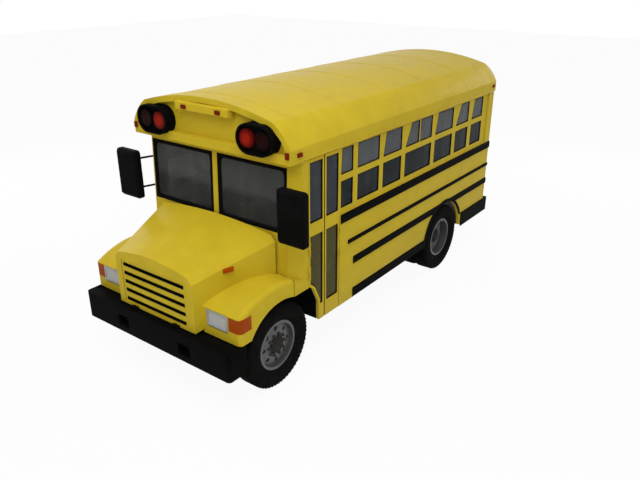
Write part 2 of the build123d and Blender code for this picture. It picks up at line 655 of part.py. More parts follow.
def make_window_band(front_x, table):
    outer = HALF - BAND_INSET
    band = block((CABIN_REAR_X, front_x), (INNER, outer), (BELT_Z, EAVE_Z))
    band += block((CABIN_REAR_X, CABIN_REAR_X + REAR_POST / 2), (INNER, HALF), (BELT_Z, EAVE_Z))
    for pane in windows(table):
        band -= side_plate(pane, (INNER, outer))
    return band


def make_panes(table):
    y = (INNER + GLASS, INNER + 2 * GLASS)
    return [side_plate(pane, y) for pane in windows(table)]


def front_plan(front_x):
    """The front wall's C-shaped plan, as X-Y points."""
    corner_in = CORNER_X - WALL / 3
    front_in = front_x - WALL
    left = [(DOOR_FRONT_X, HALF), (CORNER_X, HALF), (front_x, CORNER_Y)]
    inside = [(front_in, CORNER_Y - WALL / 2), (corner_in, INNER), (DOOR_FRONT_X, INNER)]
    right = [(px, -py) for px, py in reversed(left)]
    back = [(px, -py) for px, py in reversed(inside)]
    return left + right + back + inside


def make_fender_tail():
    """The fixed end of the left fender, which fills the front wall's corner chamfer."""
    lap = WALL / 3
    plan = [
        (CORNER_X, HALF), (CORNER_X, HALF - lap),
        (COWL_X - lap, CORNER_Y), (COWL_X, CORNER_Y), (COWL_X, HALF),
    ]
    tail = floor_plate(plan, (FLOOR_UNDER_Z, FENDER_TAIL_Z))
    top = FENDER_TAIL_Z + LAP
    slope = [
        (CORNER_X, FENDER_TAIL_Z - TAIL_SLOPE[0]), (COWL_X, FENDER_TAIL_Z - TAIL_SLOPE[1]),
        (COWL_X, top), (CORNER_X, top),
    ]
    return tail - side_plate(slope, (0, HALF))


def windshield_spans():
    inner, outer = WINDSHIELD_DIVIDER / 2, CORNER_Y - WINDSHIELD_SIDE
    return ((inner, outer), (-outer, -inner))


def make_front_wall():
    faces = []
    for front_x, z in ((COWL_X, FLOOR_UNDER_Z), (HEADER_X, EAVE_Z)):
        faces.append(make_face(Polyline(*[(px, py, z) for px, py in front_plan(front_x)], close=True)))
    wall = loft(faces, ruled=True)
    fender_tail = make_fender_tail()
    wall = wall + fender_tail + opposite(fender_tail)
    for y in windshield_spans():
        wall -= block((CORNER_X, COWL_X), y, WINDSHIELD_Z)
    for z in upper_barrels():
        wall += hinge_tab(FRONT_HINGE_X, DOOR_FRONT_X + STILE, z)
    return wall


def make_windshield():
    """Two panes that follow the front wall's rake, set in from its face."""
    slope = (HEADER_X - COWL_X) / (EAVE_Z - FLOOR_UNDER_Z)
    panes = []
    for y in windshield_spans():
        outline = []
        for inset, zs in ((WINDSHIELD_INSET, WINDSHIELD_Z), (WINDSHIELD_INSET + GLASS, WINDSHIELD_Z[::-1])):
            outline += [(COWL_X + slope * (z - FLOOR_UNDER_Z) - inset, z) for z in zs]
        panes.append(side_plate(outline, y))
    return panes


def make_rear_wall():
    x = (BODY_REAR_X, CABIN_REAR_X)
    wall = block(x, (-HALF, HALF), (SKIRT_Z, EAVE_Z)) + roof_slice(x)
    wall -= block(x, (-EXIT_HALF, EXIT_HALF), EXIT_Z)
    for y in (REAR_WINDOW_Y, (-REAR_WINDOW_Y[1], -REAR_WINDOW_Y[0])):
        wall -= block(x, y, REAR_GLASS_Z)
    for z in upper_barrels():
        wall += exit_tab(-EXIT_HALF - STILE, BODY_REAR_X + WALL / 2, z)
    return wall


def exit_tab(edge_y, root_x, z):
    """A hinge barrel of the emergency door, with its leaf out to edge_y and in to root_x."""
    leaf = block((EXIT_HINGE_X, root_x), sorted((EXIT_HINGE_Y, edge_y)), z)
    return upright(HINGE_RADIUS, EXIT_HINGE_X, EXIT_HINGE_Y, z) + leaf


def make_rear_panes():
    x = (BODY_REAR_X + WALL / 2, BODY_REAR_X + WALL / 2 + GLASS)
    return pair(block(x, REAR_WINDOW_Y, REAR_GLASS_Z))


def make_wheel_well():
    """The left rear splash shell, hung under the floor behind the wall's arch."""
    inner = DUAL_CENTRE_Y - (DUAL_SPACING + TYRE_WIDTH) / 2 - WELL_GAP
    y = (inner - WELL_PLATE, INNER - SEAT_GAP)
    radius = REAR_ARCH_RADIUS + WELL_PLATE
    x = around(REAR_AXLE_X, 2 * radius)
    top = FLOOR_UNDER_Z - SEAT_GAP
    roomy = across(REAR_ARCH_RADIUS, REAR_AXLE_X, AXLE_Z, (inner, y[1]))
    well = across(radius, REAR_AXLE_X, AXLE_Z, y) & block(x, y, (SKIRT_Z, top))
    well -= roomy & block(x, y, (0, top - WELL_PLATE))
    return well - block(x, (y[0], inner), (SKIRT_Z, AXLE_Z + AXLE_TUBE_RADIUS + WELL_OVER_TUBE))


def make_rub_rails():
    """The left side's rails; those that meet the wheel arch are one piece with its trim."""
    y = (HALF, HALF + RAIL_PROUD)
    trim_radius = REAR_ARCH_RADIUS + ARCH_TRIM
    lower = across(trim_radius, REAR_AXLE_X, AXLE_Z, y)
    lower -= block((REAR_X, FRONT_X), y, (AXLE_Z - trim_radius, SKIRT_Z))
    upper = []
    for low_up, high_up, front_back in RAILS:
        low, high = SKIRT_Z + low_up, SKIRT_Z + high_up
        bevel = (high - low) / 8
        profile = [
            (HALF, low), (HALF + RAIL_PROUD, low + bevel), (HALF + RAIL_PROUD, high - bevel), (HALF, high),
        ]
        rail = front_plate(profile, (BODY_REAR_X, DOOR_REAR_X - front_back))
        if low < AXLE_Z + REAR_ARCH_RADIUS:
            lower += rail
        else:
            upper.append(rail)
    lower -= rear_arch(y)
    return upper + [lower - block((REAR_X, REAR_AXLE_X), y, (0, REAR_BUMPER_Z[1]))]


# Floor and steps
def make_floor():
    front = COWL_X - WALL - SIDE_GAP
    outline = [
        (CABIN_REAR_X, -INNER), (CORNER_X - WALL, -INNER), (front, -CORNER_Y + WALL),
        (front, CORNER_Y - WALL), (CORNER_X - WALL, INNER), (CABIN_REAR_X, INNER),
    ]
    floor = floor_plate(outline, (FLOOR_UNDER_Z, FLOOR_Z))
    floor -= block(step_clear(), (STEP_WELL_Y + STEP_PLATE, INNER), (FLOOR_UNDER_Z, FLOOR_Z))
    stations = [FRONT_AXLE_X - back for back in FRONT_SILLS]
    stations += [REAR_AXLE_X + ahead for ahead in REAR_SILLS]
    reach = INNER - SILL_END
    for station in stations:
        floor += block(around(station, SILL_WIDTH), (-reach, reach), (RAIL_Z[1], FLOOR_UNDER_Z))
    return floor


def step_clear():
    """The step well's inside along the bus."""
    return (STEP_WELL_X[0] + STEP_PLATE, STEP_WELL_X[1] - STEP_PLATE)


def make_step_well():
    y = (STEP_WELL_Y, LEAF_Y[0] - SIDE_GAP)
    well = block(STEP_WELL_X, y, (SKIRT_Z, FLOOR_UNDER_Z))
    well -= block(step_clear(), (STEP_EDGE_Y, y[1]), (SKIRT_Z + STEP_PLATE, FLOOR_UNDER_Z))
    well -= block(step_clear(), (STEP_WELL_Y + STEP_PLATE, y[1]), (STEP_TREAD_Z, FLOOR_UNDER_Z))
    under_y = (STEP_WELL_Y, STEP_EDGE_Y - STEP_PLATE)
    return well - block(step_clear(), under_y, (SKIRT_Z, STEP_TREAD_Z - STEP_PLATE))


# Chassis
def make_rail():
    """A channel whose front horn drops to pass into the bumper."""
    horn_top = FRONT_BUMPER_Z[1] - BUMPER_PLATE - BUMPER_IN
    front = FRONT_X - BUMPER_PLATE
    taper = RADIATOR_X[0]
    horn_x = FRONT_X - FRONT_BUMPER_DEPTH - SIDE_GAP

    def outline(inset):
        low, high, horn = RAIL_Z[0] + inset, RAIL_Z[1] - inset, horn_top - inset
        nose = [(front, low), (front, horn), (horn_x, horn)]
        return [(CABIN_REAR_X, low), *nose, (taper, high), (CABIN_REAR_X, high)]

    rail = side_plate(outline(0.0), (RAIL_INNER_Y, RAIL_OUTER_Y))
    return rail - side_plate(outline(RAIL_PLATE), (RAIL_INNER_Y, CHANNEL_Y))


def make_cross_members():
    stations = [FRONT_AXLE_X - back for back in FRONT_MEMBERS]
    stations += [REAR_AXLE_X + ahead for ahead in REAR_MEMBERS]
    span = (-CHANNEL_Y, CHANNEL_Y)
    members = [block(around(station, MEMBER_WIDTH), span, CHANNEL_Z) for station in stations]
    return members + [block(RADIATOR_X, span, (CHANNEL_Z[0], CHANNEL_Z[0] + MEMBER_HEIGHT))]


def make_radiator():
    half = RAIL_INNER_Y - SIDE_GAP
    z = (CHANNEL_Z[0] + MEMBER_HEIGHT, HOOD_SECTIONS[0][3] - RADIATOR_TOP)
    return block(RADIATOR_X, (-half, half), z)


def make_engine():
    """Engine and gearbox as one plain block, with a mount out to each rail."""
    engine = block(ENGINE_X, around(0, ENGINE_WIDTH), (RAIL_Z[0] - ENGINE_DROP, RAIL_Z[1] + ENGINE_RISE))
    gearbox_z = (AXLE_Z - GEARBOX_DROP, RAIL_Z[1] - GEARBOX_TOP)
    engine += block(GEARBOX_X, around(0, GEARBOX_WIDTH), gearbox_z)
    length, height = ENGINE_MOUNT
    mount_x = around(sum(ENGINE_X) / 2, length)
    return engine + block(mount_x, (-CHANNEL_Y, CHANNEL_Y), (CHANNEL_Z[0], CHANNEL_Z[0] + height))


def make_rear_axle():
    tube_end = DUAL_CENTRE_Y - (DUAL_SPACING + RIM_WIDTH) / 2 - BEAM_DROP / 2
    reach = DUAL_CENTRE_Y + DUAL_SPACING / 2 + REAR_SPINDLE_END
    axle = across(AXLE_TUBE_RADIUS, REAR_AXLE_X, AXLE_Z, (-tube_end, tube_end))
    axle += across(REAR_SPINDLE_RADIUS, REAR_AXLE_X, AXLE_Z, (-reach, reach))
    axle += Pos(REAR_AXLE_X, 0, AXLE_Z) * Sphere(DIFF_RADIUS)
    axle += along(DIFF_NOSE_RADIUS, 0, AXLE_Z, (REAR_AXLE_X, DIFF_NOSE_X))
    for side in (1, -1):
        y = around(side * (RAIL_INNER_Y + RAIL_OUTER_Y) / 2, SPRING_WIDTH)
        axle += block(around(REAR_AXLE_X, AXLE_PAD[0]), y, (AXLE_Z, AXLE_Z + AXLE_PAD[1]))
    return axle


def make_front_axle():
    """A dropped beam, swept up at each end to the kingpin's eye."""
    end_y = KINGPIN_Y - KINGPIN_RADIUS
    drop_y = end_y - BEAM_RISE
    low_z = BEAM_TOP_Z - BEAM_HEIGHT
    end_z = around(AXLE_Z, BEAM_END)
    upper = [(end_y, end_z[1]), (drop_y, BEAM_TOP_Z), (-drop_y, BEAM_TOP_Z), (-end_y, end_z[1])]
    lower = [(-end_y, end_z[0]), (-drop_y, low_z), (drop_y, low_z), (end_y, end_z[0])]
    beam = front_plate(upper + lower, around(FRONT_AXLE_X, BEAM_WIDTH))
    eye_z = around(AXLE_Z, 2 * EYE_HALF_HEIGHT)
    for y in (KINGPIN_Y, -KINGPIN_Y):
        beam += upright(EYE_RADIUS, FRONT_AXLE_X, y, eye_z)
    for y in (KINGPIN_Y, -KINGPIN_Y):
        beam -= upright(KINGPIN_RADIUS + RUNNING_FIT, FRONT_AXLE_X, y, eye_z)
    return beam


def make_knuckle():
    """The left knuckle: a fork about the beam's eye, the kingpin through it and the wheel's spindle."""
    ear = EYE_HALF_HEIGHT + KNUCKLE_EAR
    clear = EYE_HALF_HEIGHT + KNUCKLE_GAP
    x, y, z = FRONT_AXLE_X, KINGPIN_Y, AXLE_Z
    side = around(x, 2 * EYE_RADIUS)
    web_y = (y + EYE_RADIUS + KNUCKLE_GAP, y + EYE_RADIUS + KNUCKLE_GAP + KNUCKLE_WEB)
    knuckle = upright(KINGPIN_RADIUS, x, y, (z - ear, z + ear))
    for ear_z in ((z + clear, z + ear), (z - ear, z - clear)):
        knuckle += upright(EYE_RADIUS, x, y, ear_z)
        knuckle += block(side, (y, web_y[1]), ear_z)
    knuckle += block(side, web_y, (z - ear, z + ear))
    return knuckle + across(SPINDLE_RADIUS, x, z, (web_y[0], FRONT_TYRE_Y + SPINDLE_END))


def make_leaf_spring(axle_x, seat_z):
    """A bowed spring pack from its axle seat up to the rail."""
    y = around((RAIL_INNER_Y + RAIL_OUTER_Y) / 2, SPRING_WIDTH)
    front, rear = axle_x + SPRING_HALF_LENGTH, axle_x - SPRING_HALF_LENGTH
    low = RAIL_Z[0] - SPRING_PACK - SPRING_SHACKLE
    high = low + SPRING_PACK

    def at(px, pz):
        return (px, y[0], pz)

    edges = [
        ThreePointArc(at(rear, low), at(axle_x, seat_z), at(front, low)),
        Line(at(front, low), at(front, high)),
        ThreePointArc(at(front, high), at(axle_x, seat_z + SPRING_PACK), at(rear, high)),
        Line(at(rear, high), at(rear, low)),
    ]
    spring = extrude(make_face(edges), SPRING_WIDTH, dir=(0, 1, 0))
    for x in ((front - SPRING_EYE, front), (rear, rear + SPRING_EYE)):
        spring += block(x, y, (low, RAIL_Z[0]))
    return spring


def make_exhaust():
    """A pipe from the gearbox back over the rear axle, with a muffler and a wider tail end."""
    start_x = FRONT_AXLE_X - EXHAUST_START
    over_z = AXLE_Z + EXHAUST_OVER
    bends = (TYRE_RADIUS + 3 * TAIL_BORE, REAR_ARCH_RADIUS)
    route = [
        (start_x, -GEARBOX_WIDTH / 2, EXHAUST_Z), (start_x, EXHAUST_Y, EXHAUST_Z),
        (REAR_AXLE_X + bends[0], EXHAUST_Y, EXHAUST_Z), (REAR_AXLE_X + bends[1], EXHAUST_Y, over_z),
        (REAR_AXLE_X - bends[1], EXHAUST_Y, over_z), (TAIL_END_X + 2 * TAIL_LENGTH, EXHAUST_Y, TAIL_Z),
        (TAIL_END_X + TAIL_BORE, EXHAUST_Y, TAIL_Z),
    ]
    path = FilletPolyline(*route, radius=EXHAUST_BEND)
    pipe = sweep(Plane(origin=path @ 0, z_dir=path % 0) * Circle(EXHAUST_RADIUS), path)
    pipe += along(MUFFLER_RADIUS, EXHAUST_Y, EXHAUST_Z, [REAR_AXLE_X + ahead for ahead in MUFFLER])
    pipe += along(TAIL_RADIUS, EXHAUST_Y, TAIL_Z, (TAIL_END_X, TAIL_END_X + TAIL_LENGTH))
    pipe -= along(TAIL_RADIUS - TAIL_WALL, EXHAUST_Y, TAIL_Z, (TAIL_END_X, TAIL_END_X + TAIL_BORE))
    hanger_x = around(REAR_AXLE_X - bends[1] + 2 * TAIL_BORE, BEAM_DROP)
    return pipe + block(hanger_x, (EXHAUST_Y, -RAIL_OUTER_Y), around(over_z, KNUCKLE_WEB))


def make_fuel_tank():
    x = [REAR_AXLE_X + ahead for ahead in TANK]
    tank = block(x, (RAIL_OUTER_Y, INNER - TANK_IN), (SKIRT_Z + TANK_UP, RAIL_Z[1] - SIDE_GAP))
    return fillet(tank.edges().filter_by(Axis.X), TANK_ROUND)


# Bumpers
def make_front_bumper():
    """A formed channel that wraps round the fenders' corners, with two tow slots."""
    end_x, rear = FRONT_X - FRONT_BUMPER_WRAP, FRONT_X - FRONT_BUMPER_DEPTH
    low, high = FRONT_BUMPER_Z
    half = HALF - BUMPER_IN
    bumper = block((end_x, FRONT_X), (-half, half), (low, high))
    bumper = fillet(bumper.edges().filter_by(Axis.Z).group_by(Axis.X)[-1], BUMPER_ROUND)
    inside = (BUMPER_PLATE - half, half - BUMPER_PLATE)
    bumper -= block((end_x, FRONT_X - BUMPER_PLATE), inside, (low + BUMPER_PLATE, high - BUMPER_PLATE))
    for z in ((low, low + BUMPER_PLATE), (high - BUMPER_PLATE, high)):
        bumper -= block((end_x, rear), inside, z)
    for y in (TOW_SLOT_Y, -TOW_SLOT_Y):
        bumper -= block((rear, FRONT_X), around(y, TOW_SLOT[0]), around(low + TOW_SLOT_UP, TOW_SLOT[1]))
    return bumper


def make_rear_bumper():
    """A channel across the rear, with a tow eye under each end of it."""
    low, high = REAR_BUMPER_Z
    wide = HALF + RAIL_PROUD
    rear_x = (REAR_X, BODY_REAR_X)
    bumper = block(rear_x, (-wide, wide), (low, high))
    inside_x = (REAR_X + BUMPER_PLATE, BODY_REAR_X)
    bumper -= block(inside_x, (-HALF, HALF), (low + BUMPER_PLATE, high - BUMPER_PLATE))
    eye_x = REAR_X + TOW_EYE_IN
    eye_z = low - TOW_EYE_DROP
    for y in (TOW_EYE_Y, -TOW_EYE_Y):
        plate_y = around(y, TOW_EYE_PLATE)
        bumper += block(around(eye_x, 2 * TOW_EYE_ROUND), plate_y, (eye_z, low + BUMPER_PLATE))
        bumper += across(TOW_EYE_ROUND, eye_x, eye_z, plate_y)
        bumper -= across(TOW_EYE_RADIUS, eye_x, eye_z, plate_y)
    return bumper


def make_bumper_wing():
    """The black corner guard on the left wall, from the rear bumper to the wheel arch."""
    low, high = REAR_BUMPER_Z
    front = REAR_AXLE_X - REAR_ARCH_RADIUS - ARCH_TRIM
    return block((BODY_REAR_X + SEAT_GAP, front), (HALF, HALF + RAIL_PROUD), (low, high))


# Doors
def leaf_outline(x, corner):
    rear, front = x
    if not corner:
        return [(rear, SKIRT_Z), (front, SKIRT_Z), (front, DOOR_TOP_Z), (rear, DOOR_TOP_Z)]
    bends = toe(front)
    return [(rear, SKIRT_Z), (bends[0][0], SKIRT_Z), *bends, (front, DOOR_TOP_Z), (rear, DOOR_TOP_Z)]


def leaf_panes(x, corner):
    rear, front = x[0] + STILE, x[1] - STILE
    low, high = LOWER_GLASS_Z
    lower = [(rear, low), (front, low), (front, high), (rear, high)]
    if corner:
        bends = toe(x[1], STILE, TOE_LIFT)
        lower = [(rear, low), (bends[0][0], low), *bends, (front, high), (rear, high)]
    low, high = UPPER_GLASS_Z
    return [lower, [(rear, low), (front, low), (front, high), (rear, high)]]


def make_leaf(x, hinge_x, hinge_edge, corner):
    leaf = side_plate(leaf_outline(x, corner), LEAF_Y)
    for pane in leaf_panes(x, corner):
        leaf -= side_plate(pane, LEAF_Y)
    for z in HINGE_ZS:
        barrel = (z, z + HINGE_LENGTH)
        leaf += upright(HINGE_RADIUS, hinge_x, HINGE_Y, barrel)
        leaf += block(sorted((hinge_x, hinge_edge)), (LEAF_Y[1] - TAB_SINK, HINGE_Y), barrel)
    return leaf


def make_leaf_glass(x, corner):
    y = around(sum(LEAF_Y) / 2, GLASS)
    return [side_plate(pane, y) for pane in leaf_panes(x, corner)]


def make_exit_door():
    half = EXIT_HALF - LEAF_GAP
    door = block(EXIT_DOOR_X, (-half, half), (EXIT_Z[0] + LEAF_GAP, EXIT_Z[1] - LEAF_GAP))
    for z in EXIT_GLASS_Z:
        door -= block(EXIT_DOOR_X, (-EXIT_GLASS_HALF, EXIT_GLASS_HALF), z)
    for z in HINGE_ZS:
        door += exit_tab(EXIT_HINGE_Y + STILE, EXIT_DOOR_X[0] + TAB_SINK, (z, z + HINGE_LENGTH))
    return door


def make_exit_glass():
    x = around(sum(EXIT_DOOR_X) / 2, GLASS)
    return [block(x, (-EXIT_GLASS_HALF, EXIT_GLASS_HALF), z) for z in EXIT_GLASS_Z]


# Hood, fenders and front lamps
def hood_at(x):
    """Half width, low edge, edge height and crown height of the hood at x."""
    front, rear = HOOD_SECTIONS
    share = (front[0] - x) / (front[0] - rear[0])
    return [f + share * (r - f) for f, r in zip(front[1:], rear[1:])]


def hood_face(x, inset=0.0, low=None):
    """The hood's cross-section at x, drawn in by inset, closed along its low edge or along low."""
    half, base, edge, crown = hood_at(x)
    half, edge, crown = half - inset, edge - inset, crown - inset
    base = base if low is None else low
    bevel_y = half - HOOD_BEVEL[0]
    bevel_z = edge - HOOD_BEVEL[1]

    def at(py, pz):
        return (x, py, pz)

    edges = [
        Line(at(-half, base), at(half, base)),
        Line(at(half, base), at(half, bevel_z)),
        Line(at(half, bevel_z), at(bevel_y, edge)),
        ThreePointArc(at(bevel_y, edge), at(0, crown), at(-bevel_y, edge)),
        Line(at(-bevel_y, edge), at(-half, bevel_z)),
        Line(at(-half, bevel_z), at(-half, base)),
    ]
    return make_face(edges)


def hood_solid(front_x, rear_x, inset=0.0, low=None):
    return loft([hood_face(front_x, inset, low), hood_face(rear_x, inset, low)], ruled=True)


def make_hood():
    hood = hood_solid(HOOD_FRONT_X, HOOD_REAR_X)
    hood -= hood_solid(HOOD_FRONT_X - HOOD_SHEET, HOOD_REAR_X - LAP, HOOD_SHEET, AXLE_Z)
    for y in ((WHEEL_CLEARANCE_Y, HALF), (-HALF, -WHEEL_CLEARANCE_Y)):
        hood -= across(WHEEL_CLEARANCE_RADIUS, FRONT_AXLE_X, AXLE_Z, y)
    opening_x = (HOOD_FRONT_X - 2 * HOOD_SHEET, HOOD_FRONT_X + LAP)
    hood -= block(opening_x, (-GRILLE_HALF, GRILLE_HALF), GRILLE_Z)
    for y in (EAR_Y, (-EAR_Y[1], -EAR_Y[0])):
        hood += block((HOOD_FRONT_X - HOOD_SHEET, PIVOT_X), y, around(PIVOT_Z, 2 * EAR_WALL))
        hood += across(PIVOT_RADIUS + EAR_WALL, PIVOT_X, PIVOT_Z, y)
        hood -= across(PIVOT_RADIUS + RUNNING_FIT, PIVOT_X, PIVOT_Z, y)
    return hood


def make_grille():
    x = (HOOD_FRONT_X - HOOD_SHEET + GRILLE_SET_IN, HOOD_FRONT_X - GRILLE_SET_IN)
    grille = block(x, (-GRILLE_HALF, GRILLE_HALF), GRILLE_Z)
    slot_half = GRILLE_HALF - GRILLE_BAR
    for up in GRILLE_SLOTS:
        grille -= block(x, (-slot_half, slot_half), around(GRILLE_LOW_Z + up, GRILLE_SLOT))
    return grille


def fender_solid(inset=0.0):
    """The fender's outer form from the bus's centre outward, drawn in by inset at front, top and side."""
    front = FENDER_FRONT_X - inset
    rear = HOOD_REAR_X - (LAP if inset else 0)
    low = FENDER_LOW_Z - (FENDER_NOSE if inset else 0)
    nose, crest, tail = [FENDER_LOW_Z + up - inset for up in (FENDER_NOSE, FENDER_CREST, FENDER_TAIL)]

    def at(px, pz):
        return (px, 0.0, pz)

    edges = [
        Line(at(rear, low), at(front, low)),
        Line(at(front, low), at(front, nose)),
        ThreePointArc(at(front, nose), at((FENDER_FRONT_X + HOOD_REAR_X) / 2, crest), at(rear, tail)),
        Line(at(rear, tail), at(rear, low)),
    ]
    solid = extrude(make_face(edges), HALF - inset, dir=(0, 1, 0))
    outer_edges = solid.faces().sort_by(Axis.Y)[-1].edges()
    rounded = outer_edges.sort_by(Axis.Z)[-1:] + outer_edges.filter_by(Axis.Z).sort_by(Axis.X)[-1:]
    return fillet(rounded, FENDER_ROUND - inset / 2)


def make_fender_pieces():
    """The left fender with its headlamp and turn lamp let into the skin."""
    skin = fender_solid() - fender_solid(FENDER_SHEET)
    skin -= across(FENDER_ARCH_RADIUS, FRONT_AXLE_X, AXLE_Z, (0, HALF))
    skin -= hood_solid(HOOD_FRONT_X, HOOD_REAR_X - LAP, 0.0, AXLE_Z)
    face = FENDER_FRONT_X + LAP
    head = block((FENDER_FRONT_X - 2 * FENDER_SHEET, face), HEADLAMP_Y, HEADLAMP_Z)
    turn_y = (HALF - TURN_LAMP_IN, HALF + LAP)
    turn = block((FENDER_FRONT_X - TURN_LAMP_LENGTH, face), turn_y, TURN_LAMP_Z)
    return skin - head - turn, skin & head, skin & turn


def make_hood_marker():
    """An amber wedge lamp on the hood's side."""
    long, tall, proud = WEDGE_LAMP
    x = FRONT_X - WEDGE_BACK
    half, _, edge, _ = hood_at(x)
    front, rear = HOOD_SECTIONS
    run, spread = front[0] - rear[0], rear[1] - front[1]
    side = Plane(origin=(x, half, edge - WEDGE_DROP), x_dir=(-run, spread, 0), z_dir=(spread, run, 0))
    return extrude(side * Rectangle(long, tall), proud, taper=WEDGE_TAPER)


def make_hinge_bracket():
    """A foot on the bumper with two lugs, and the pin that the hood's ear turns on."""
    y = (EAR_Y[0] - LUG_SIDE, EAR_Y[1] + LUG_SIDE)
    top = FRONT_BUMPER_Z[1]
    length, foot = BRACKET
    bracket = block(around(PIVOT_X, length), y, (top, top + foot))
    for lug in ((y[0], EAR_Y[0] - KNUCKLE_GAP), (EAR_Y[1] + KNUCKLE_GAP, y[1])):
        bracket += block(around(PIVOT_X, 2 * LUG_RADIUS), lug, (top, PIVOT_Z))
        bracket += across(LUG_RADIUS, PIVOT_X, PIVOT_Z, lug)
    return bracket + across(PIVOT_RADIUS, PIVOT_X, PIVOT_Z, y)


# Wheels
def tyre_profile():
    """Half of the tyre from bead to tread, and its mirror image, as (axial, radial) points."""
    seat = RIM_WIDTH / 2 - RIM_FLANGE - SEAT_GAP
    bead = RIM_RADIUS + SEAT_GAP
    wall = TYRE_RADIUS - bead
    bulge = TYRE_WIDTH / 2
    shoulder = (bulge + TREAD_WIDTH / 2) / 2
    half = [
        (seat, bead), (seat, bead + RIM_LIP + BUMPER_IN), (bulge - EAR_WALL, bead + 0.31 * wall),
        (bulge, bead + 0.5 * wall), (bulge - EAR_WALL, bead + 0.8 * wall),
        (shoulder, TYRE_RADIUS - TREAD_ROUND),
        (TREAD_WIDTH / 2 - EAR_WALL, TYRE_RADIUS),
    ]
    return half + [(-axial, radial) for axial, radial in reversed(half)]


def rim_profile(middle=0.0):
    """The barrel's outer side from one lip to the other, as (axial, radial) points."""
    lip, seat = RIM_RADIUS + RIM_LIP, RIM_RADIUS
    edge = RIM_WIDTH / 2
    inside = edge - RIM_FLANGE
    points = [(-edge, lip), (-inside, lip), (-inside, seat), (inside, seat), (inside, lip), (edge, lip)]
    return [(middle + axial, radial) for axial, radial in points]


def front_wheel_profile():
    half = RIM_WIDTH / 2
    bore = SPINDLE_RADIUS + RUNNING_FIT
    well = RIM_RADIUS - RIM_WALL
    bore_end = SPINDLE_END + BUMPER_IN
    cone = (DISC_FACE + 1.2 * HUB_CAP, HUB_RADIUS - HUB_CAP)
    cap = cone[0] + HUB_CAP
    inner = [
        (-HUB_BACK, bore), (-HUB_BACK, HUB_RADIUS - HUB_CAP), (DISC_FACE - DISC, HUB_RADIUS),
        (DISC_RIM - DISC, well), (-half, well),
    ]
    outer = [
        (half, well), (DISC_RIM, well), (DISC_FACE, NUT_FLAT), (DISC_FACE, HUB_RADIUS), cone,
        (cap, HUB_CAP_RADIUS), (cap, 0), (bore_end, 0), (bore_end, bore),
    ]
    return inner + rim_profile() + outer


def rear_wheel_profile():
    """Two rims back to back on one hub."""
    half = RIM_WIDTH / 2
    off = DUAL_SPACING / 2
    well = RIM_RADIUS - RIM_WALL
    bore = REAR_SPINDLE_RADIUS + RUNNING_FIT
    bore_end = off + REAR_SPINDLE_END + EAR_WALL
    cone = off + HUB_CAP
    cap = bore_end + HUB_CAP
    gap = off - half
    inner = [
        (-off - half, bore), (-off - half, HUB_RADIUS),
        (-TWIN_DISC, HUB_RADIUS), (-TWIN_DISC, NUT_FLAT + TWIN_DISC),
        (half / 3 - off, well), (-off - half, well),
    ]
    between = [
        (-gap, well), (-gap - RIM_WALL, well), (0, NUT_FLAT + HUB_CAP), (gap + RIM_WALL, well), (gap, well),
    ]
    outer = [
        (off + half, well), (off - half / 3, well),
        (TWIN_DISC, NUT_FLAT + TWIN_DISC), (TWIN_DISC, HUB_RADIUS),
        (cone, HUB_RADIUS - EAR_WALL), (cap, HUB_CAP_RADIUS), (cap, 0), (bore_end, 0), (bore_end, bore),
    ]
    return inner + rim_profile(-off) + between + rim_profile(off) + outer


def with_hand_holes(wheel, x, y):
    """The wheel with round openings through its disc."""
    for index in range(HAND_HOLES):
        angle = radians(360 * index / HAND_HOLES)
        hole_x, hole_z = x + HAND_HOLE_CIRCLE * cos(angle), AXLE_Z + HAND_HOLE_CIRCLE * sin(angle)
        wheel -= across(HAND_HOLE_RADIUS, hole_x, hole_z, y)
    return wheel


def make_front_wheel():
    wheel = turned(front_wheel_profile(), FRONT_AXLE_X, FRONT_TYRE_Y)
    return with_hand_holes(wheel, FRONT_AXLE_X, (FRONT_TYRE_Y, FRONT_TYRE_Y + RIM_WIDTH / 2))


def make_rear_wheel():
    wheel = turned(rear_wheel_profile(), REAR_AXLE_X, DUAL_CENTRE_Y)
    return with_hand_holes(wheel, REAR_AXLE_X, around(DUAL_CENTRE_Y, DUAL_SPACING))


# Lamps and mirrors
def pod_plate(size, x, y):
    """A rounded warning-lamp outline extruded along the bus from x[0] to x[1]."""
    plane = Plane(origin=(x[0], y, POD_Z), x_dir=(0, 1, 0), z_dir=(1, 0, 0))
    return extrude(plane * SlotOverall(*size), x[1] - x[0])


def make_pod(face_x, depth, forward):
    """A black housing that holds two lenses, on a wall at face_x."""
    end = face_x + forward * depth
    pocket = end - forward * POD_POCKET
    pod = pod_plate(WARNING_POD, sorted((face_x, end)), POD_Y)
    size = (WARNING_POD[0] - 2 * POD_RIM, WARNING_POD[1] - 2 * POD_RIM)
    return pod - pod_plate(size, sorted((pocket, end)), POD_Y)


def make_lens(face_x, depth, forward, offset):
    """A round lens on the housing's pocket, rounded at its face."""
    seat = face_x + forward * (depth - POD_POCKET)
    lens = along(LENS_RADIUS, POD_Y + offset, POD_Z, sorted((seat, seat + forward * LENS_DEPTH)))
    face = lens.faces().sort_by(Axis.X)[-1 if forward > 0 else 0]
    return fillet(face.edges(), LENS_ROUND)


def make_markers():
    """Small amber lamps of the visor and the cap's corner, on the left half."""
    long, tall, proud = MARKER
    visor_x = (VISOR_FACE_X, VISOR_FACE_X + proud)
    visor = block(visor_x, around(MARKER_Y, long), around(sum(VISOR_Z) / 2, tall))
    rim_y = around(CAP_HALF - CAP_RIM / 2 - CAP_PROUD / 2, tall)
    front = block((CAP_FRONT_X, CAP_FRONT_X + proud), rim_y, (MARKER_Z, MARKER_Z + long))
    side_x = CAP_REAR_X + MARKER_BACK
    side = block((side_x, side_x + long), (CAP_HALF, CAP_HALF + proud), (MARKER_Z, MARKER_Z + tall))
    return [visor, front, side]


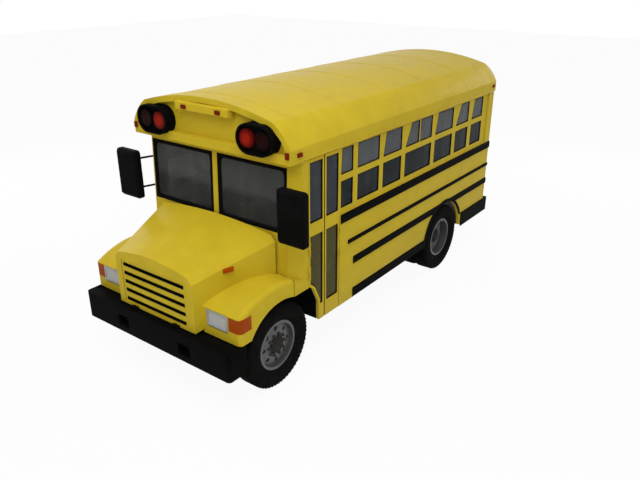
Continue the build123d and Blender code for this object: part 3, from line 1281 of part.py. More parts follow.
def make_tail_lamps():
    """Red lamps of the rear wall and the roof's rear corner, on the left half."""
    long, tall, proud = MARKER
    x = (BODY_REAR_X - TAIL_LAMP_DEPTH, BODY_REAR_X)
    y = HALF - TAIL_LAMP_IN
    stop = along(STOP_LAMP_RADIUS, y, BELT_Z - TAIL_LAMP_DROP[0], x)
    tail = along(TAIL_LAMP_RADIUS, y, BELT_Z - TAIL_LAMP_DROP[1], x)
    side_x = CABIN_REAR_X + MARKER_BACK / 2
    side = block((side_x, side_x + long), (ROOF_HALF, ROOF_HALF + proud), (MARKER_Z, MARKER_Z + tall))
    return [stop, tail, side]


def make_mirror(front_wall):
    """The left mirror's bevelled housing and its two arms, which end on the front wall."""
    x = [COWL_X + ahead for ahead in MIRROR_AHEAD]
    y = [HALF + out for out in MIRROR_OUT]
    z = [BELT_Z + up for up in MIRROR_UP]
    head = block(x, y, z)
    head = fillet(head.edges().filter_by(Axis.X), MIRROR_ROUND)
    head = chamfer(head.faces().sort_by(Axis.X)[-1].edges(), MIRROR_BEVEL)
    for up in MIRROR_ARM_UP:
        root = (CORNER_X + ARM_ROOT[0], HALF - ARM_ROOT[1], BELT_Z + up)
        tip = (x[0] + ARM_TIP[0], y[0] + ARM_TIP[1], BELT_Z + up)
        head += rod(root, tip, MIRROR_ARM_RADIUS)
    return (head - front_wall).solids().sort_by(SortBy.VOLUME)[-1]


# Cabin
def make_bench(front_x):
    rear = front_x - BENCH_DEPTH
    back_top = rear - BENCH_LEAN
    back_z = FLOOR_Z + BENCH_BACK_RISE
    under = BENCH_TOP_Z - BENCH_PAD
    outline = [
        (front_x, under), (front_x, BENCH_TOP_Z), (rear + BENCH_LEG, BENCH_TOP_Z - BENCH_ROUND),
        (back_top + BENCH_BACK, back_z), (back_top, back_z), (rear - BENCH_BACK / 2, under),
    ]
    bench = fillet(side_plate(outline, BENCH_Y).edges().filter_by(Axis.Y), BENCH_ROUND)
    leg_x = (rear + BENCH_LEG, front_x - BENCH_LEG_IN)
    for y in (BENCH_Y[0] + BENCH_LEG_IN, BENCH_Y[1] - BENCH_LEG_IN):
        bench += block(leg_x, around(y, BENCH_LEG), (FLOOR_Z, under + EAR_WALL))
    return bench


def make_benches():
    benches = []
    for row in range(BENCH_ROWS):
        front_x = DOOR_REAR_X - BENCH_START - row * BENCH_PITCH
        if front_x - BENCH_DEPTH - BENCH_LEAN - BENCH_BACK > CABIN_REAR_X:
            benches += pair(make_bench(front_x))
    return benches


def make_driver_seat():
    front_x = HUB.X - DRIVER_SEAT_BACK
    outline = [(front_x - back, FLOOR_Z + up) for back, up in DRIVER_SEAT_SIDE]
    seat = side_plate(outline, around(DRIVER_Y, DRIVER_SEAT_WIDTH))
    seat = fillet(seat.edges().filter_by(Axis.Y), DRIVER_SEAT_ROUND)
    length, width = PEDESTAL
    foot_x = (front_x - PEDESTAL_BACK - length, front_x - PEDESTAL_BACK)
    foot_top = FLOOR_Z + DRIVER_SEAT_SIDE[0][1] + EAR_WALL
    return seat + block(foot_x, around(DRIVER_Y, width), (FLOOR_Z, foot_top))


def make_dashboard():
    """The dashboard on its console, with the steering column and the pin that the wheel turns on."""
    top, low = BELT_Z - DASH_DROP, FLOOR_Z + DASH_RISE
    front = COWL_X - WALL - DASH_GAP
    lip = [(front - back, top - drop) for back, drop in DASH_LIP]
    dash = side_plate([(front, low), *lip, (front - DASH_FOOT, low)], (DASH_END - CORNER_Y, DASH_DOOR_END))
    dash += block((front - CONSOLE_LENGTH, front), CONSOLE_Y, (FLOOR_Z, low + DASH_DROP))
    radius, start, end = COLUMN_TUBE
    dash += rod(HUB - COLUMN * end, HUB - COLUMN * start, radius)
    return dash + rod(HUB - COLUMN * end, HUB + COLUMN * COLUMN_END, COLUMN_RADIUS)


def make_steering_wheel():
    plane = Plane(origin=HUB, x_dir=(0, 1, 0), z_dir=COLUMN)
    wheel = plane * Torus(STEER_RADIUS, STEER_RIM)
    wheel += plane * Cylinder(*STEER_BOSS)
    length = STEER_RADIUS - EAR_WALL
    for angle in SPOKE_ANGLES:
        wheel += plane * Rot(0, 0, angle) * Pos(length / 2 + EAR_WALL, 0, 0) * Box(length, *STEER_SPOKE)
    return wheel - plane * Cylinder(COLUMN_RADIUS + RUNNING_FIT, 2 * STEER_BOSS[1])


def save_chassis():
    save("frame_rails", pair(make_rail()))
    save("cross_members", make_cross_members())
    save("front_axle", make_front_axle())
    save("rear_axle", make_rear_axle())
    front_springs = pair(make_leaf_spring(FRONT_AXLE_X, BEAM_TOP_Z))
    save("leaf_springs", front_springs, pair(make_leaf_spring(REAR_AXLE_X, AXLE_Z + AXLE_PAD[1])))
    save("engine", make_engine())
    save("drive_shaft", along(DRIVE_SHAFT_RADIUS, 0, AXLE_Z, (DIFF_NOSE_X, GEARBOX_X[0])))
    save("exhaust", make_exhaust())
    save("fuel_tank", make_fuel_tank())
    save("radiator", make_radiator())
    save("front_bumper", make_front_bumper())
    save("rear_bumper", make_rear_bumper(), pair(make_bumper_wing()))
    save("hood_hinge_brackets", pair(make_hinge_bracket()))


def save_body():
    front_wall = make_front_wall()
    right_windows = LEFT_WINDOWS + (DRIVER_WINDOW,)
    save("floor", make_floor())
    save("step_well", make_step_well())
    save("side_wall_left", make_side_wall_left())
    save("side_wall_right", make_side_wall_right())
    save("window_band_left", make_window_band(DOOR_REAR_X, LEFT_WINDOWS))
    save("window_band_right", opposite(make_window_band(DOOR_FRONT_X, right_windows)))
    save("roof", make_roof())
    save("front_cap", make_front_cap())
    save("front_wall", front_wall)
    save("rear_wall", make_rear_wall())
    rails = make_rub_rails()
    save("rub_rails", rails, [opposite(rail) for rail in rails])
    save("rear_wheel_wells", pair(make_wheel_well()))
    save("windshield_glass", make_windshield())
    right_panes = [opposite(pane) for pane in make_panes(right_windows)]
    save("window_glass", make_panes(LEFT_WINDOWS), right_panes, make_rear_panes())
    save("mirrors", pair(make_mirror(front_wall)))


def save_lamps():
    save("lamp_housings", [one for place in POD_PLACES for one in pair(make_pod(*place))])
    red = [make_lens(*place, LENS_SPREAD) for place in POD_PLACES] + make_tail_lamps()
    amber = [make_lens(*place, -LENS_SPREAD) for place in POD_PLACES] + make_markers()
    save("red_lenses", [one for lamp in red for one in pair(lamp)])
    save("amber_lenses", [one for lamp in amber for one in pair(lamp)])


def save_cabin():
    save("bench_seats", make_benches())
    save("driver_seat", make_driver_seat())
    save("dashboard", make_dashboard())
    save("steering_wheel", make_steering_wheel())


def save_hood():
    fender, headlamp, turn_lamp = make_fender_pieces()
    save("hood", make_hood())
    save("grille", make_grille())
    save("fender_left", fender)
    save("fender_right", opposite(fender))
    save("headlamps", pair(headlamp))
    save("turn_lamps", pair(turn_lamp), pair(make_hood_marker()))


def save_wheels():
    tyre = tyre_profile()
    left = {
        "knuckle": [make_knuckle()],
        "front_tyre": [turned(tyre, FRONT_AXLE_X, FRONT_TYRE_Y)],
        "front_wheel": [make_front_wheel()],
        "rear_wheels": [make_rear_wheel()],
        "rear_tyres": [turned(tyre, REAR_AXLE_X, y) for y in around(DUAL_CENTRE_Y, DUAL_SPACING)],
    }
    for name, pieces in left.items():
        save(f"{name}_left", pieces)
        save(f"{name}_right", [opposite(piece) for piece in pieces])


def save_doors():
    save("door_leaf_front", make_leaf(FRONT_LEAF_X, FRONT_HINGE_X, FRONT_LEAF_X[1] - STILE / 2, True))
    save("door_glass_front", make_leaf_glass(FRONT_LEAF_X, True))
    save("door_leaf_rear", make_leaf(REAR_LEAF_X, REAR_HINGE_X, REAR_LEAF_X[0] + STILE / 2, False))
    save("door_glass_rear", make_leaf_glass(REAR_LEAF_X, False))
    save("emergency_door", make_exit_door())
    save("emergency_glass", make_exit_glass())


os.makedirs("parts", exist_ok=True)
save_chassis()
save_body()
save_lamps()
save_cabin()
save_hood()
save_wheels()
save_doors()
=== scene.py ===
"""Looks of a short bonneted school bus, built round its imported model, in metres."""
from math import ceil, cos, hypot, pi, radians, sin, tau

import bmesh
import bpy
from bpy.props import FloatProperty, FloatVectorProperty, IntProperty, PointerProperty
from mathutils import Matrix, Vector
from mathutils.bvhtree import BVHTree


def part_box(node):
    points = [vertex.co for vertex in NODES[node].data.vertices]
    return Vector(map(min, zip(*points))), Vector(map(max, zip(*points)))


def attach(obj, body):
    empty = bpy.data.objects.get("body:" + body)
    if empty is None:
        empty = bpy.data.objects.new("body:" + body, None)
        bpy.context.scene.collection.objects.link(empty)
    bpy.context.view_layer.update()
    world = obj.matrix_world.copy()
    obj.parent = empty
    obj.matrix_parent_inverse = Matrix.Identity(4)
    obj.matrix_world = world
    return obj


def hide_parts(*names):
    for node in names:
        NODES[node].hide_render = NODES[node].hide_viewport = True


bl_info = {
    "name": "School bus looks",
    "version": (1, 0, 0),
    "blender": (4, 5, 0),
    "location": "3D View > Sidebar > School bus",
    "description": "Finishes, tyres, seats, rubber and fittings of a school bus",
    "category": "Object",
}

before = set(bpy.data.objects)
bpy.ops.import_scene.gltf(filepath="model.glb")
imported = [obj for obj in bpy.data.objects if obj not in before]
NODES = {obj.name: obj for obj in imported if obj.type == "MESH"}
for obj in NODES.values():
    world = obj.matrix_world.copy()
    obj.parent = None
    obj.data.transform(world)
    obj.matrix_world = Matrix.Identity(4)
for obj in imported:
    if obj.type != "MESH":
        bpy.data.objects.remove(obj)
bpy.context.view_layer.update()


def node_middle(node):
    low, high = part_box(node)
    return (low + high) / 2


SIDES = (1, -1)
LEFT, RIGHT = Vector((0, 1, 0)), Vector((0, -1, 0))
AHEAD, ASTERN = Vector((1, 0, 0)), Vector((-1, 0, 0))
UP = Vector((0, 0, 1))
FRONT_AXLE = node_middle("front_tyre_left")
REAR_AXLE = node_middle("rear_tyres_left")
TYRE_RADIUS = FRONT_AXLE.z
TWIN_HALF = 0.16                # twin tyres' middles from the pair's middle
HUB_RADIUS = 0.1135
ARCH_CLEAR = 0.655              # nearest that a rivet comes to the rear axle
WALL_Y = 1.22                   # outer face of the side walls
POD_Y, POD_Z = 0.815, 2.868     # middle of a warning lamp housing
LENS_SPREAD = 0.118             # lens's middle from the housing's
LENS_RADIUS = 0.108
BENCH_FRONTS = [0.86 - 0.72 * row for row in range(5)]
BENCH_Y = 0.6875                # bench's middle from the aisle's
DRIVER_Y = -0.65


class BusColours(bpy.types.PropertyGroup):
    """Colours of the bus's finishes."""

    body_yellow: FloatVectorProperty(
        name="Body yellow", description="Paint of the body and hood", subtype="COLOR", size=3,
        default=(0.61, 0.448, 0.020), min=0, max=1)
    trim_black: FloatVectorProperty(
        name="Trim black", description="Paint of the rails and bumpers", subtype="COLOR", size=3,
        default=(0.0030, 0.0030, 0.0030), min=0, max=1)
    road_dust: FloatVectorProperty(
        name="Road dust", description="Dust that settles low on the bus", subtype="COLOR", size=3,
        default=(0.30, 0.24, 0.16), min=0, max=1)
    lining: FloatVectorProperty(
        name="Cabin lining", description="Paint of the walls' inner sides", subtype="COLOR", size=3,
        default=(0.30, 0.31, 0.30), min=0, max=1)
    seat: FloatVectorProperty(
        name="Seat vinyl", description="Cover of the seats", subtype="COLOR", size=3,
        default=(0.045, 0.050, 0.058), min=0, max=1)


class BusSizes(bpy.types.PropertyGroup):
    """Sizes of the fittings that the looks add."""

    windshield_rubber: FloatProperty(
        name="Windshield rubber", description="Width of the windshield's rubber",
        default=0.042, unit="LENGTH")
    window_rubber: FloatProperty(
        name="Window rubber", description="Width of the side windows' rubber",
        default=0.013, unit="LENGTH")
    rivet_pitch: FloatProperty(
        name="Rivet pitch", description="Distance between rivets", default=0.105, unit="LENGTH")
    rivet_radius: FloatProperty(
        name="Rivet radius", description="Radius of a rivet's head", default=0.0055, unit="LENGTH")
    tread_pitches: IntProperty(
        name="Tread pitches", description="Shoulder notches round a tyre",
        default=58, min=20, max=120)
    groove_depth: FloatProperty(
        name="Groove depth", description="Depth of the tread's grooves",
        default=0.011, unit="LENGTH")
    wheel_nuts: IntProperty(
        name="Wheel nuts", description="Nuts on one wheel", default=10, min=5, max=12)
    pad_swell: FloatProperty(
        name="Pad swell", description="Most that a seat pad swells", default=0.014, unit="LENGTH")


def colours():
    return bpy.context.scene.bus_colours


def sizes():
    return bpy.context.scene.bus_sizes


# Node trees
def put(tree, kind, settings=None, inputs=None):
    """Add a node; an input that is itself a socket is linked."""
    node = tree.nodes.new(kind)
    for key, value in (settings or {}).items():
        setattr(node, key, value)
    for key, value in (inputs or {}).items():
        feed(tree, node.inputs[key], value)
    return node


def feed(tree, socket, value):
    if isinstance(value, bpy.types.NodeSocket):
        tree.links.new(value, socket)
    elif socket.type == "RGBA":
        socket.default_value = (*value[:3], 1.0)
    else:
        socket.default_value = value


def arith(tree, operation, first, second=0.0, clamp=False):
    settings = {"operation": operation, "use_clamp": clamp}
    return put(tree, "ShaderNodeMath", settings, {0: first, 1: second}).outputs[0]


def plus(tree, first, second):
    return arith(tree, "ADD", first, second)


def minus(tree, first, second):
    return arith(tree, "SUBTRACT", first, second)


def times(tree, first, second):
    return arith(tree, "MULTIPLY", first, second)


def remap(tree, value, low, high, to_low=0.0, to_high=1.0):
    inputs = {0: value, 1: low, 2: high, 3: to_low, 4: to_high}
    return put(tree, "ShaderNodeMapRange", None, inputs).outputs[0]


def blend_colour(tree, share, first, second):
    inputs = {0: share, 6: first, 7: second}
    return put(tree, "ShaderNodeMix", {"data_type": "RGBA"}, inputs).outputs[2]


def object_coords(tree):
    return put(tree, "ShaderNodeTexCoord").outputs["Object"]


def parts_of(tree, vector):
    return put(tree, "ShaderNodeSeparateXYZ", None, {0: vector}).outputs


def stretched(tree, coords, scale):
    settings = {"operation": "MULTIPLY"}
    return put(tree, "ShaderNodeVectorMath", settings, {0: coords, 1: scale}).outputs[0]


def noise(tree, coords, scale, detail=4.0, roughness=0.55):
    inputs = {"Vector": coords, "Scale": scale, "Detail": detail, "Roughness": roughness}
    return put(tree, "ShaderNodeTexNoise", None, inputs).outputs[0]


def cells(tree, coords, scale, **settings):
    inputs = {"Vector": coords, "Scale": scale}
    return put(tree, "ShaderNodeTexVoronoi", settings, inputs)


def prisms(tree, coords, scale):
    """A square grid of prisms."""
    node = cells(tree, coords, scale, distance="CHEBYCHEV")
    node.inputs["Randomness"].default_value = 0.0
    return node.outputs[0]


def bands(tree, coords, direction, scale):
    """Straight waves along one axis."""
    settings = {"bands_direction": direction}
    return put(tree, "ShaderNodeTexWave", settings, {"Vector": coords, "Scale": scale}).outputs[1]


def new_group(name, inputs, outputs):
    """A node group with named float, colour and vector sockets; gives its tree and its inputs."""
    tree = bpy.data.node_groups.new(name, "ShaderNodeTree")
    for in_out, table in (("INPUT", inputs), ("OUTPUT", outputs)):
        for label, kind in table.items():
            socket_type = "NodeSocket" + kind
            tree.interface.new_socket(name=label, in_out=in_out, socket_type=socket_type)
    return tree, tree.nodes.new("NodeGroupInput").outputs


def group_out(tree, values):
    end = tree.nodes.new("NodeGroupOutput")
    for label, value in values.items():
        tree.links.new(value, end.inputs[label])


def place(tree, group, inputs):
    node = put(tree, "ShaderNodeGroup", {"node_tree": bpy.data.node_groups[group]}, inputs)
    return node.outputs


def make_dust_group():
    """Dust that thickens toward the ground and runs down in faint streaks."""
    inputs = {"Color": "Color", "Dust": "Color", "Top": "Float", "Amount": "Float"}
    tree, given = new_group("Road dust", inputs, {"Color": "Color", "Mask": "Float"})
    coords = object_coords(tree)
    height = parts_of(tree, coords)["Z"]
    low = arith(tree, "POWER", remap(tree, height, given["Top"], 0.35), 1.6)
    cloud = remap(tree, noise(tree, coords, 2.6, 7.0, 0.65), 0.3, 0.72)
    runs = noise(tree, stretched(tree, coords, (9.0, 9.0, 0.7)), 1.0, 5.0)
    streak = remap(tree, runs, 0.42, 0.75)
    fleck = remap(tree, noise(tree, coords, 70.0, 3.0), 0.5, 0.8)
    cover = times(tree, low, plus(tree, times(tree, cloud, 0.75), 0.25))
    film = times(tree, times(tree, streak, cloud), 0.10)
    total = plus(tree, plus(tree, cover, film), times(tree, fleck, 0.05))
    mask = arith(tree, "MULTIPLY", total, given["Amount"], clamp=True)
    colour = blend_colour(tree, mask, given["Color"], given["Dust"])
    group_out(tree, {"Color": colour, "Mask": mask})


def make_grain_group():
    """Fine surface grain: a bump height and a slow tone change."""
    outputs = {"Height": "Float", "Tone": "Float"}
    tree, given = new_group("Fine grain", {"Scale": "Float"}, outputs)
    coords = object_coords(tree)
    fine = noise(tree, coords, given["Scale"], 3.0)
    pits = cells(tree, coords, given["Scale"]).outputs[0]
    tone = noise(tree, coords, 3.5, 6.0, 0.6)
    group_out(tree, {"Height": plus(tree, fine, times(tree, pits, 0.35)), "Tone": tone})


def make_edge_group():
    """Wear along a piece's edges, broken up by noise."""
    inputs = {"Radius": "Float", "Amount": "Float"}
    tree, given = new_group("Edge wear", inputs, {"Mask": "Float"})
    rounded = put(tree, "ShaderNodeBevel", {"samples": 3}, {"Radius": given["Radius"]}).outputs[0]
    normal = put(tree, "ShaderNodeNewGeometry").outputs["Normal"]
    settings = {"operation": "DOT_PRODUCT"}
    same = put(tree, "ShaderNodeVectorMath", settings, {0: rounded, 1: normal}).outputs[1]
    edge = remap(tree, same, 0.985, 0.86)
    broken = remap(tree, noise(tree, object_coords(tree), 24.0, 5.0, 0.7), 0.46, 0.66)
    group_out(tree, {"Mask": times(tree, times(tree, edge, broken), given["Amount"])})


def make_inner_group():
    """Mask of the faces within reach of a centre that look back toward it, along given axes."""
    inputs = {"Centre": "Vector", "Axes": "Vector", "Reach": "Vector"}
    tree, given = new_group("Inner side", inputs, {"Mask": "Float"})
    coords = put(tree, "ShaderNodeTexCoord").outputs

    def vectors(operation, *values):
        settings = {"operation": operation}
        return put(tree, "ShaderNodeVectorMath", settings, dict(enumerate(values))).outputs[0]

    def smallest(vector):
        x, y, z = parts_of(tree, vector)
        return arith(tree, "MINIMUM", arith(tree, "MINIMUM", x, y), z)

    away = vectors("SUBTRACT", coords["Object"], given["Centre"])
    outward = vectors("MULTIPLY", vectors("SIGN", away), given["Axes"])
    facing = smallest(vectors("MULTIPLY", outward, coords["Normal"]))
    within = smallest(vectors("SUBTRACT", given["Reach"], vectors("ABSOLUTE", away)))
    mask = times(tree, remap(tree, facing, -0.45, -0.50), remap(tree, within, 0.0, 0.004))
    group_out(tree, {"Mask": mask})


# Finishes
def grey(level):
    return (level, level, level)


def new_finish(name, **values):
    """A material with its main shader; plain values go on the shader's own sockets."""
    material = bpy.data.materials.new(name)
    material.use_nodes = True
    tree = material.node_tree
    shader = tree.nodes["Principled BSDF"]
    for label, value in values.items():
        feed(tree, shader.inputs[label.replace("_", " ")], value)
    return tree, shader


def finish_from(tree, shader, colour, roughness, height, strength, distance):
    """Link a colour, a roughness and a bump to the shader."""
    inputs = {"Height": height, "Strength": strength, "Distance": distance}
    feed(tree, shader.inputs["Base Color"], colour)
    feed(tree, shader.inputs["Roughness"], roughness)
    feed(tree, shader.inputs["Normal"], put(tree, "ShaderNodeBump", None, inputs).outputs[0])


def dusted(tree, colour, top, amount):
    """Road dust over a colour."""
    inputs = {"Color": colour, "Dust": colours().road_dust, "Top": top, "Amount": amount}
    return place(tree, "Road dust", inputs)


def toned(tree, tone, to_low, to_high):
    """A value that follows a slow tone change."""
    return remap(tree, tone, 0.3, 0.7, to_low, to_high)


def mottled(tree, tone, first, second):
    """A colour that follows a slow tone change."""
    return blend_colour(tree, remap(tree, tone, 0.3, 0.7), first, second)


def make_yellow(name, centre, axes, reach, inside):
    """School-bus yellow outside, another paint on the faces that look inward."""
    tree, shader = new_finish(name, Coat_Roughness=0.12, Specular_IOR_Level=0.022)
    coords = object_coords(tree)
    grain = place(tree, "Fine grain", {"Scale": 160.0})
    yellow = colours().body_yellow
    faded = [min(1.0, part * 1.05 + 0.004) for part in yellow]
    deep = [part * 0.94 for part in yellow]
    tone = blend_colour(tree, remap(tree, grain["Tone"], 0.34, 0.68), deep, faded)
    patch = remap(tree, noise(tree, coords, 0.9, 3.0), 0.35, 0.7)
    tone = blend_colour(tree, times(tree, patch, 0.35), tone, yellow)
    wear = place(tree, "Edge wear", {"Radius": 0.006, "Amount": 0.5})["Mask"]
    tone = blend_colour(tree, wear, tone, (0.42, 0.30, 0.075))
    dust = dusted(tree, tone, 1.15, 0.26)
    lining = place(tree, "Inner side", {"Centre": centre, "Axes": axes, "Reach": reach})["Mask"]
    colour = blend_colour(tree, lining, dust["Color"], inside)
    rough = plus(tree, toned(tree, grain["Tone"], 0.26, 0.40), times(tree, dust["Mask"], 0.4))
    clear = minus(tree, minus(tree, 0.05, times(tree, dust["Mask"], 0.05)), lining)
    feed(tree, shader.inputs["Coat Weight"], arith(tree, "MAXIMUM", clear, 0.0))
    wave = noise(tree, coords, 7.0, 2.0)
    height = plus(tree, times(tree, grain["Height"], 0.10), wave)
    finish_from(tree, shader, colour, rough, height, 0.10, 0.004)


def make_painted(name, base, scuff, roughness, dust_top, dust_amount, grain_scale, metallic, gloss):
    """Satin paint, cast metal or rubber with scuffed edges, tone changes and dust."""
    tree, shader = new_finish(name, Metallic=metallic, Specular_IOR_Level=gloss)
    grain = place(tree, "Fine grain", {"Scale": grain_scale})
    light = [part * 1.35 + 0.001 for part in base]
    tone = blend_colour(tree, remap(tree, grain["Tone"], 0.35, 0.7), base, light)
    wear = place(tree, "Edge wear", {"Radius": 0.005, "Amount": 0.7})["Mask"]
    tone = blend_colour(tree, wear, tone, scuff)
    dust = dusted(tree, tone, dust_top, dust_amount)
    rough = plus(tree, toned(tree, grain["Tone"], roughness - 0.06, roughness + 0.08),
                 times(tree, dust["Mask"], 0.3))
    finish_from(tree, shader, dust["Color"], rough, grain["Height"], 0.25, 0.0015)


def make_glass(name, upper_painted_reflection, lower_painted_cabin_view, split, alpha):
    """Tinted glass with a streaked film of dust, painted in two tones above and below a height: a
    painted reflection above and a painted view of the cabin behind it below.
    """
    tree, shader = new_finish(name, IOR=1.5, Specular_IOR_Level=0.05)
    coords = object_coords(tree)
    height = parts_of(tree, coords)["Z"]
    # Painted light: a painted reflection above the split, and a painted view of the cabin below it
    tone = blend_colour(tree, remap(tree, height, split - 0.05, split + 0.05), lower_painted_cabin_view, upper_painted_reflection)
    film = remap(tree, noise(tree, coords, 4.0, 6.0, 0.62), 0.48, 0.78)
    runs = noise(tree, stretched(tree, coords, (5.0, 5.0, 0.35)), 1.0, 4.0)
    haze = times(tree, plus(tree, film, remap(tree, runs, 0.5, 0.8)), 0.12)
    colour = blend_colour(tree, haze, tone, (0.30, 0.30, 0.29))
    feed(tree, shader.inputs["Alpha"], plus(tree, alpha, times(tree, haze, 0.5)))
    rough = remap(tree, haze, 0.0, 0.2, 0.04, 0.2)
    finish_from(tree, shader, colour, rough, noise(tree, coords, 3.0, 2.0), 0.04, 0.002)


def new_lens(name, coat, gloss, glow):
    """A moulded lens's shader, its coordinates and its roughness."""
    tree, shader = new_finish(name, Coat_Weight=coat, Coat_Roughness=0.05, IOR=1.49,
                              Specular_IOR_Level=gloss, Emission_Strength=glow)
    coords = object_coords(tree)
    return tree, shader, coords, toned(tree, noise(tree, coords, 14.0), 0.10, 0.22)


def lens_reach(tree, coords):
    """Distance from the axis of the nearest warning lamp, as a share of its lens's radius."""
    parts = parts_of(tree, coords)
    from_pod = minus(tree, arith(tree, "ABSOLUTE", parts["Y"]), POD_Y)
    across = minus(tree, arith(tree, "ABSOLUTE", from_pod), LENS_SPREAD)
    up = minus(tree, parts["Z"], POD_Z)
    square = plus(tree, times(tree, across, across), times(tree, up, up))
    return arith(tree, "DIVIDE", arith(tree, "SQRT", square), LENS_RADIUS)


def make_warning_lens(name, bright, dark, glow):
    """A round lens with moulded rings, painted brightest at its middle as a painted highlight, and
    darker along its rings and prisms as painted shade.
    """
    tree, shader, coords, rough = new_lens(name, 0.015, 0.02, glow)
    reach = lens_reach(tree, coords)
    ring = 0.05
    ridge = remap(tree, arith(tree, "PINGPONG", reach, ring), 0.0, ring)
    grid = prisms(tree, coords, 70.0)
    # Painted highlight: the lens is painted brighter toward its middle
    tone = blend_colour(tree, remap(tree, reach, 0.35, 0.85), bright, dark)
    # Painted shade along the moulded rings and prism edges
    depth = remap(tree, plus(tree, ridge, grid), 0.4, 1.5, 0.0, 0.45)
    shade = blend_colour(tree, depth, tone, dark)
    feed(tree, shader.inputs["Emission Color"], shade)
    finish_from(tree, shader, shade, rough, plus(tree, ridge, times(tree, grid, 0.5)), 0.4, 0.003)


def make_lens(name, bright, dark, glow, pattern):
    """A lens with fine prisms over a darker reflector behind it, painted lighter at each prism's
    middle and darker toward its edges: a painted highlight and painted shade.
    """
    tree, shader, coords, rough = new_lens(name, 0.03, 0.03, glow)
    grid = prisms(tree, coords, pattern)
    # Painted highlight at each prism's middle, painted shade toward its edges
    tone = blend_colour(tree, remap(tree, grid, 0.1, 0.6), bright, dark)
    lit = blend_colour(tree, remap(tree, grid, 0.0, 0.6), bright, dark)
    feed(tree, shader.inputs["Emission Color"], lit)
    dust = dusted(tree, tone, 1.2, 0.08)
    finish_from(tree, shader, dust["Color"], rough, grid, 0.5, 0.003)


def make_tyre_rubber():
    """Rubber that greys with patches of dust and scuffs."""
    tree, shader = new_finish("tyre_rubber", Specular_IOR_Level=0.010)
    coords = object_coords(tree)
    grain = place(tree, "Fine grain", {"Scale": 220.0})
    tone = mottled(tree, grain["Tone"], grey(0.004), (0.008, 0.008, 0.0076))
    dirt = remap(tree, noise(tree, coords, 9.0, 8.0, 0.7), 0.5, 0.78)
    scuffs = remap(tree, noise(tree, coords, 60.0, 4.0), 0.55, 0.8)
    cover = plus(tree, times(tree, dirt, 0.022), times(tree, scuffs, 0.010))
    colour = blend_colour(tree, cover, tone, colours().road_dust)
    rough = toned(tree, grain["Tone"], 0.62, 0.86)
    finish_from(tree, shader, colour, rough, grain["Height"], 0.35, 0.0012)


def make_ribbed_floor():
    """Ribbed rubber, worn pale along the aisle."""
    tree, shader = new_finish("floor_rubber", Specular_IOR_Level=0.08)
    coords = object_coords(tree)
    ribs = bands(tree, coords, "Y", 16.0)
    grain = place(tree, "Fine grain", {"Scale": 90.0})
    tone = mottled(tree, grain["Tone"], (0.016, 0.016, 0.017), grey(0.036))
    aisle = remap(tree, arith(tree, "ABSOLUTE", parts_of(tree, coords)["Y"]), 0.30, 0.05)
    worn = times(tree, aisle, remap(tree, noise(tree, coords, 5.0, 6.0), 0.35, 0.7))
    colour = blend_colour(tree, times(tree, worn, 0.4), tone, (0.13, 0.12, 0.10))
    height = plus(tree, ribs, times(tree, grain["Height"], 0.3))
    finish_from(tree, shader, colour, toned(tree, grain["Tone"], 0.55, 0.8), height, 0.5, 0.004)


def make_seat_vinyl():
    """Vinyl with a leather-like grain, creases and paler, polished patches of wear."""
    tree, shader = new_finish("seat_vinyl", Sheen_Weight=0.15, Coat_Weight=0.12, Coat_Roughness=0.3)
    coords = object_coords(tree)
    base = colours().seat
    pores = cells(tree, coords, 240.0, feature="DISTANCE_TO_EDGE").outputs[0]
    folds = noise(tree, stretched(tree, coords, (26.0, 7.0, 26.0)), 1.0, 6.0, 0.7)
    creases = remap(tree, folds, 0.47, 0.53)
    wear = remap(tree, noise(tree, coords, 4.5, 7.0, 0.6), 0.45, 0.75)
    worn = [part * 1.7 + 0.01 for part in base]
    tone = blend_colour(tree, wear, [part * 0.75 for part in base], worn)
    # Painted shade: the vinyl is darker in the pores of its grain
    tone = blend_colour(tree, remap(tree, pores, 0.0, 0.08, 0.35, 0.0), tone, (0.01, 0.01, 0.012))
    height = plus(tree, remap(tree, pores, 0.0, 0.15), times(tree, creases, 0.5))
    finish_from(tree, shader, tone, remap(tree, wear, 0.0, 1.0, 0.55, 0.36), height, 0.3, 0.0012)


def make_radiator_core():
    """Rows of fins between flat tubes, painted darker in the gaps between them as painted shade."""
    tree, shader = new_finish("radiator_core", Metallic=0.6)
    coords = object_coords(tree)
    fins, tubes = bands(tree, coords, "Z", 60.0), bands(tree, coords, "Y", 14.0)
    # Painted shade: darker in bands where the core has gaps between its fins
    share = times(tree, fins, remap(tree, tubes, 0.2, 0.5))
    dust = dusted(tree, blend_colour(tree, share, grey(0.02), grey(0.12)), 1.6, 0.4)
    rough = remap(tree, tubes, 0.0, 1.0, 0.4, 0.6)
    finish_from(tree, shader, dust["Color"], rough, share, 0.6, 0.004)


def make_mirror_silver():
    """Silvered glass with a faint film."""
    tree, shader = new_finish("mirror_silver", Metallic=1.0)
    coords = object_coords(tree)
    film = remap(tree, noise(tree, coords, 8.0, 6.0), 0.45, 0.8)
    tone = blend_colour(tree, times(tree, film, 0.3), (0.72, 0.74, 0.75), (0.42, 0.41, 0.38))
    rough = remap(tree, film, 0.0, 1.0, 0.03, 0.2)
    finish_from(tree, shader, tone, rough, noise(tree, coords, 2.0), 0.03, 0.002)


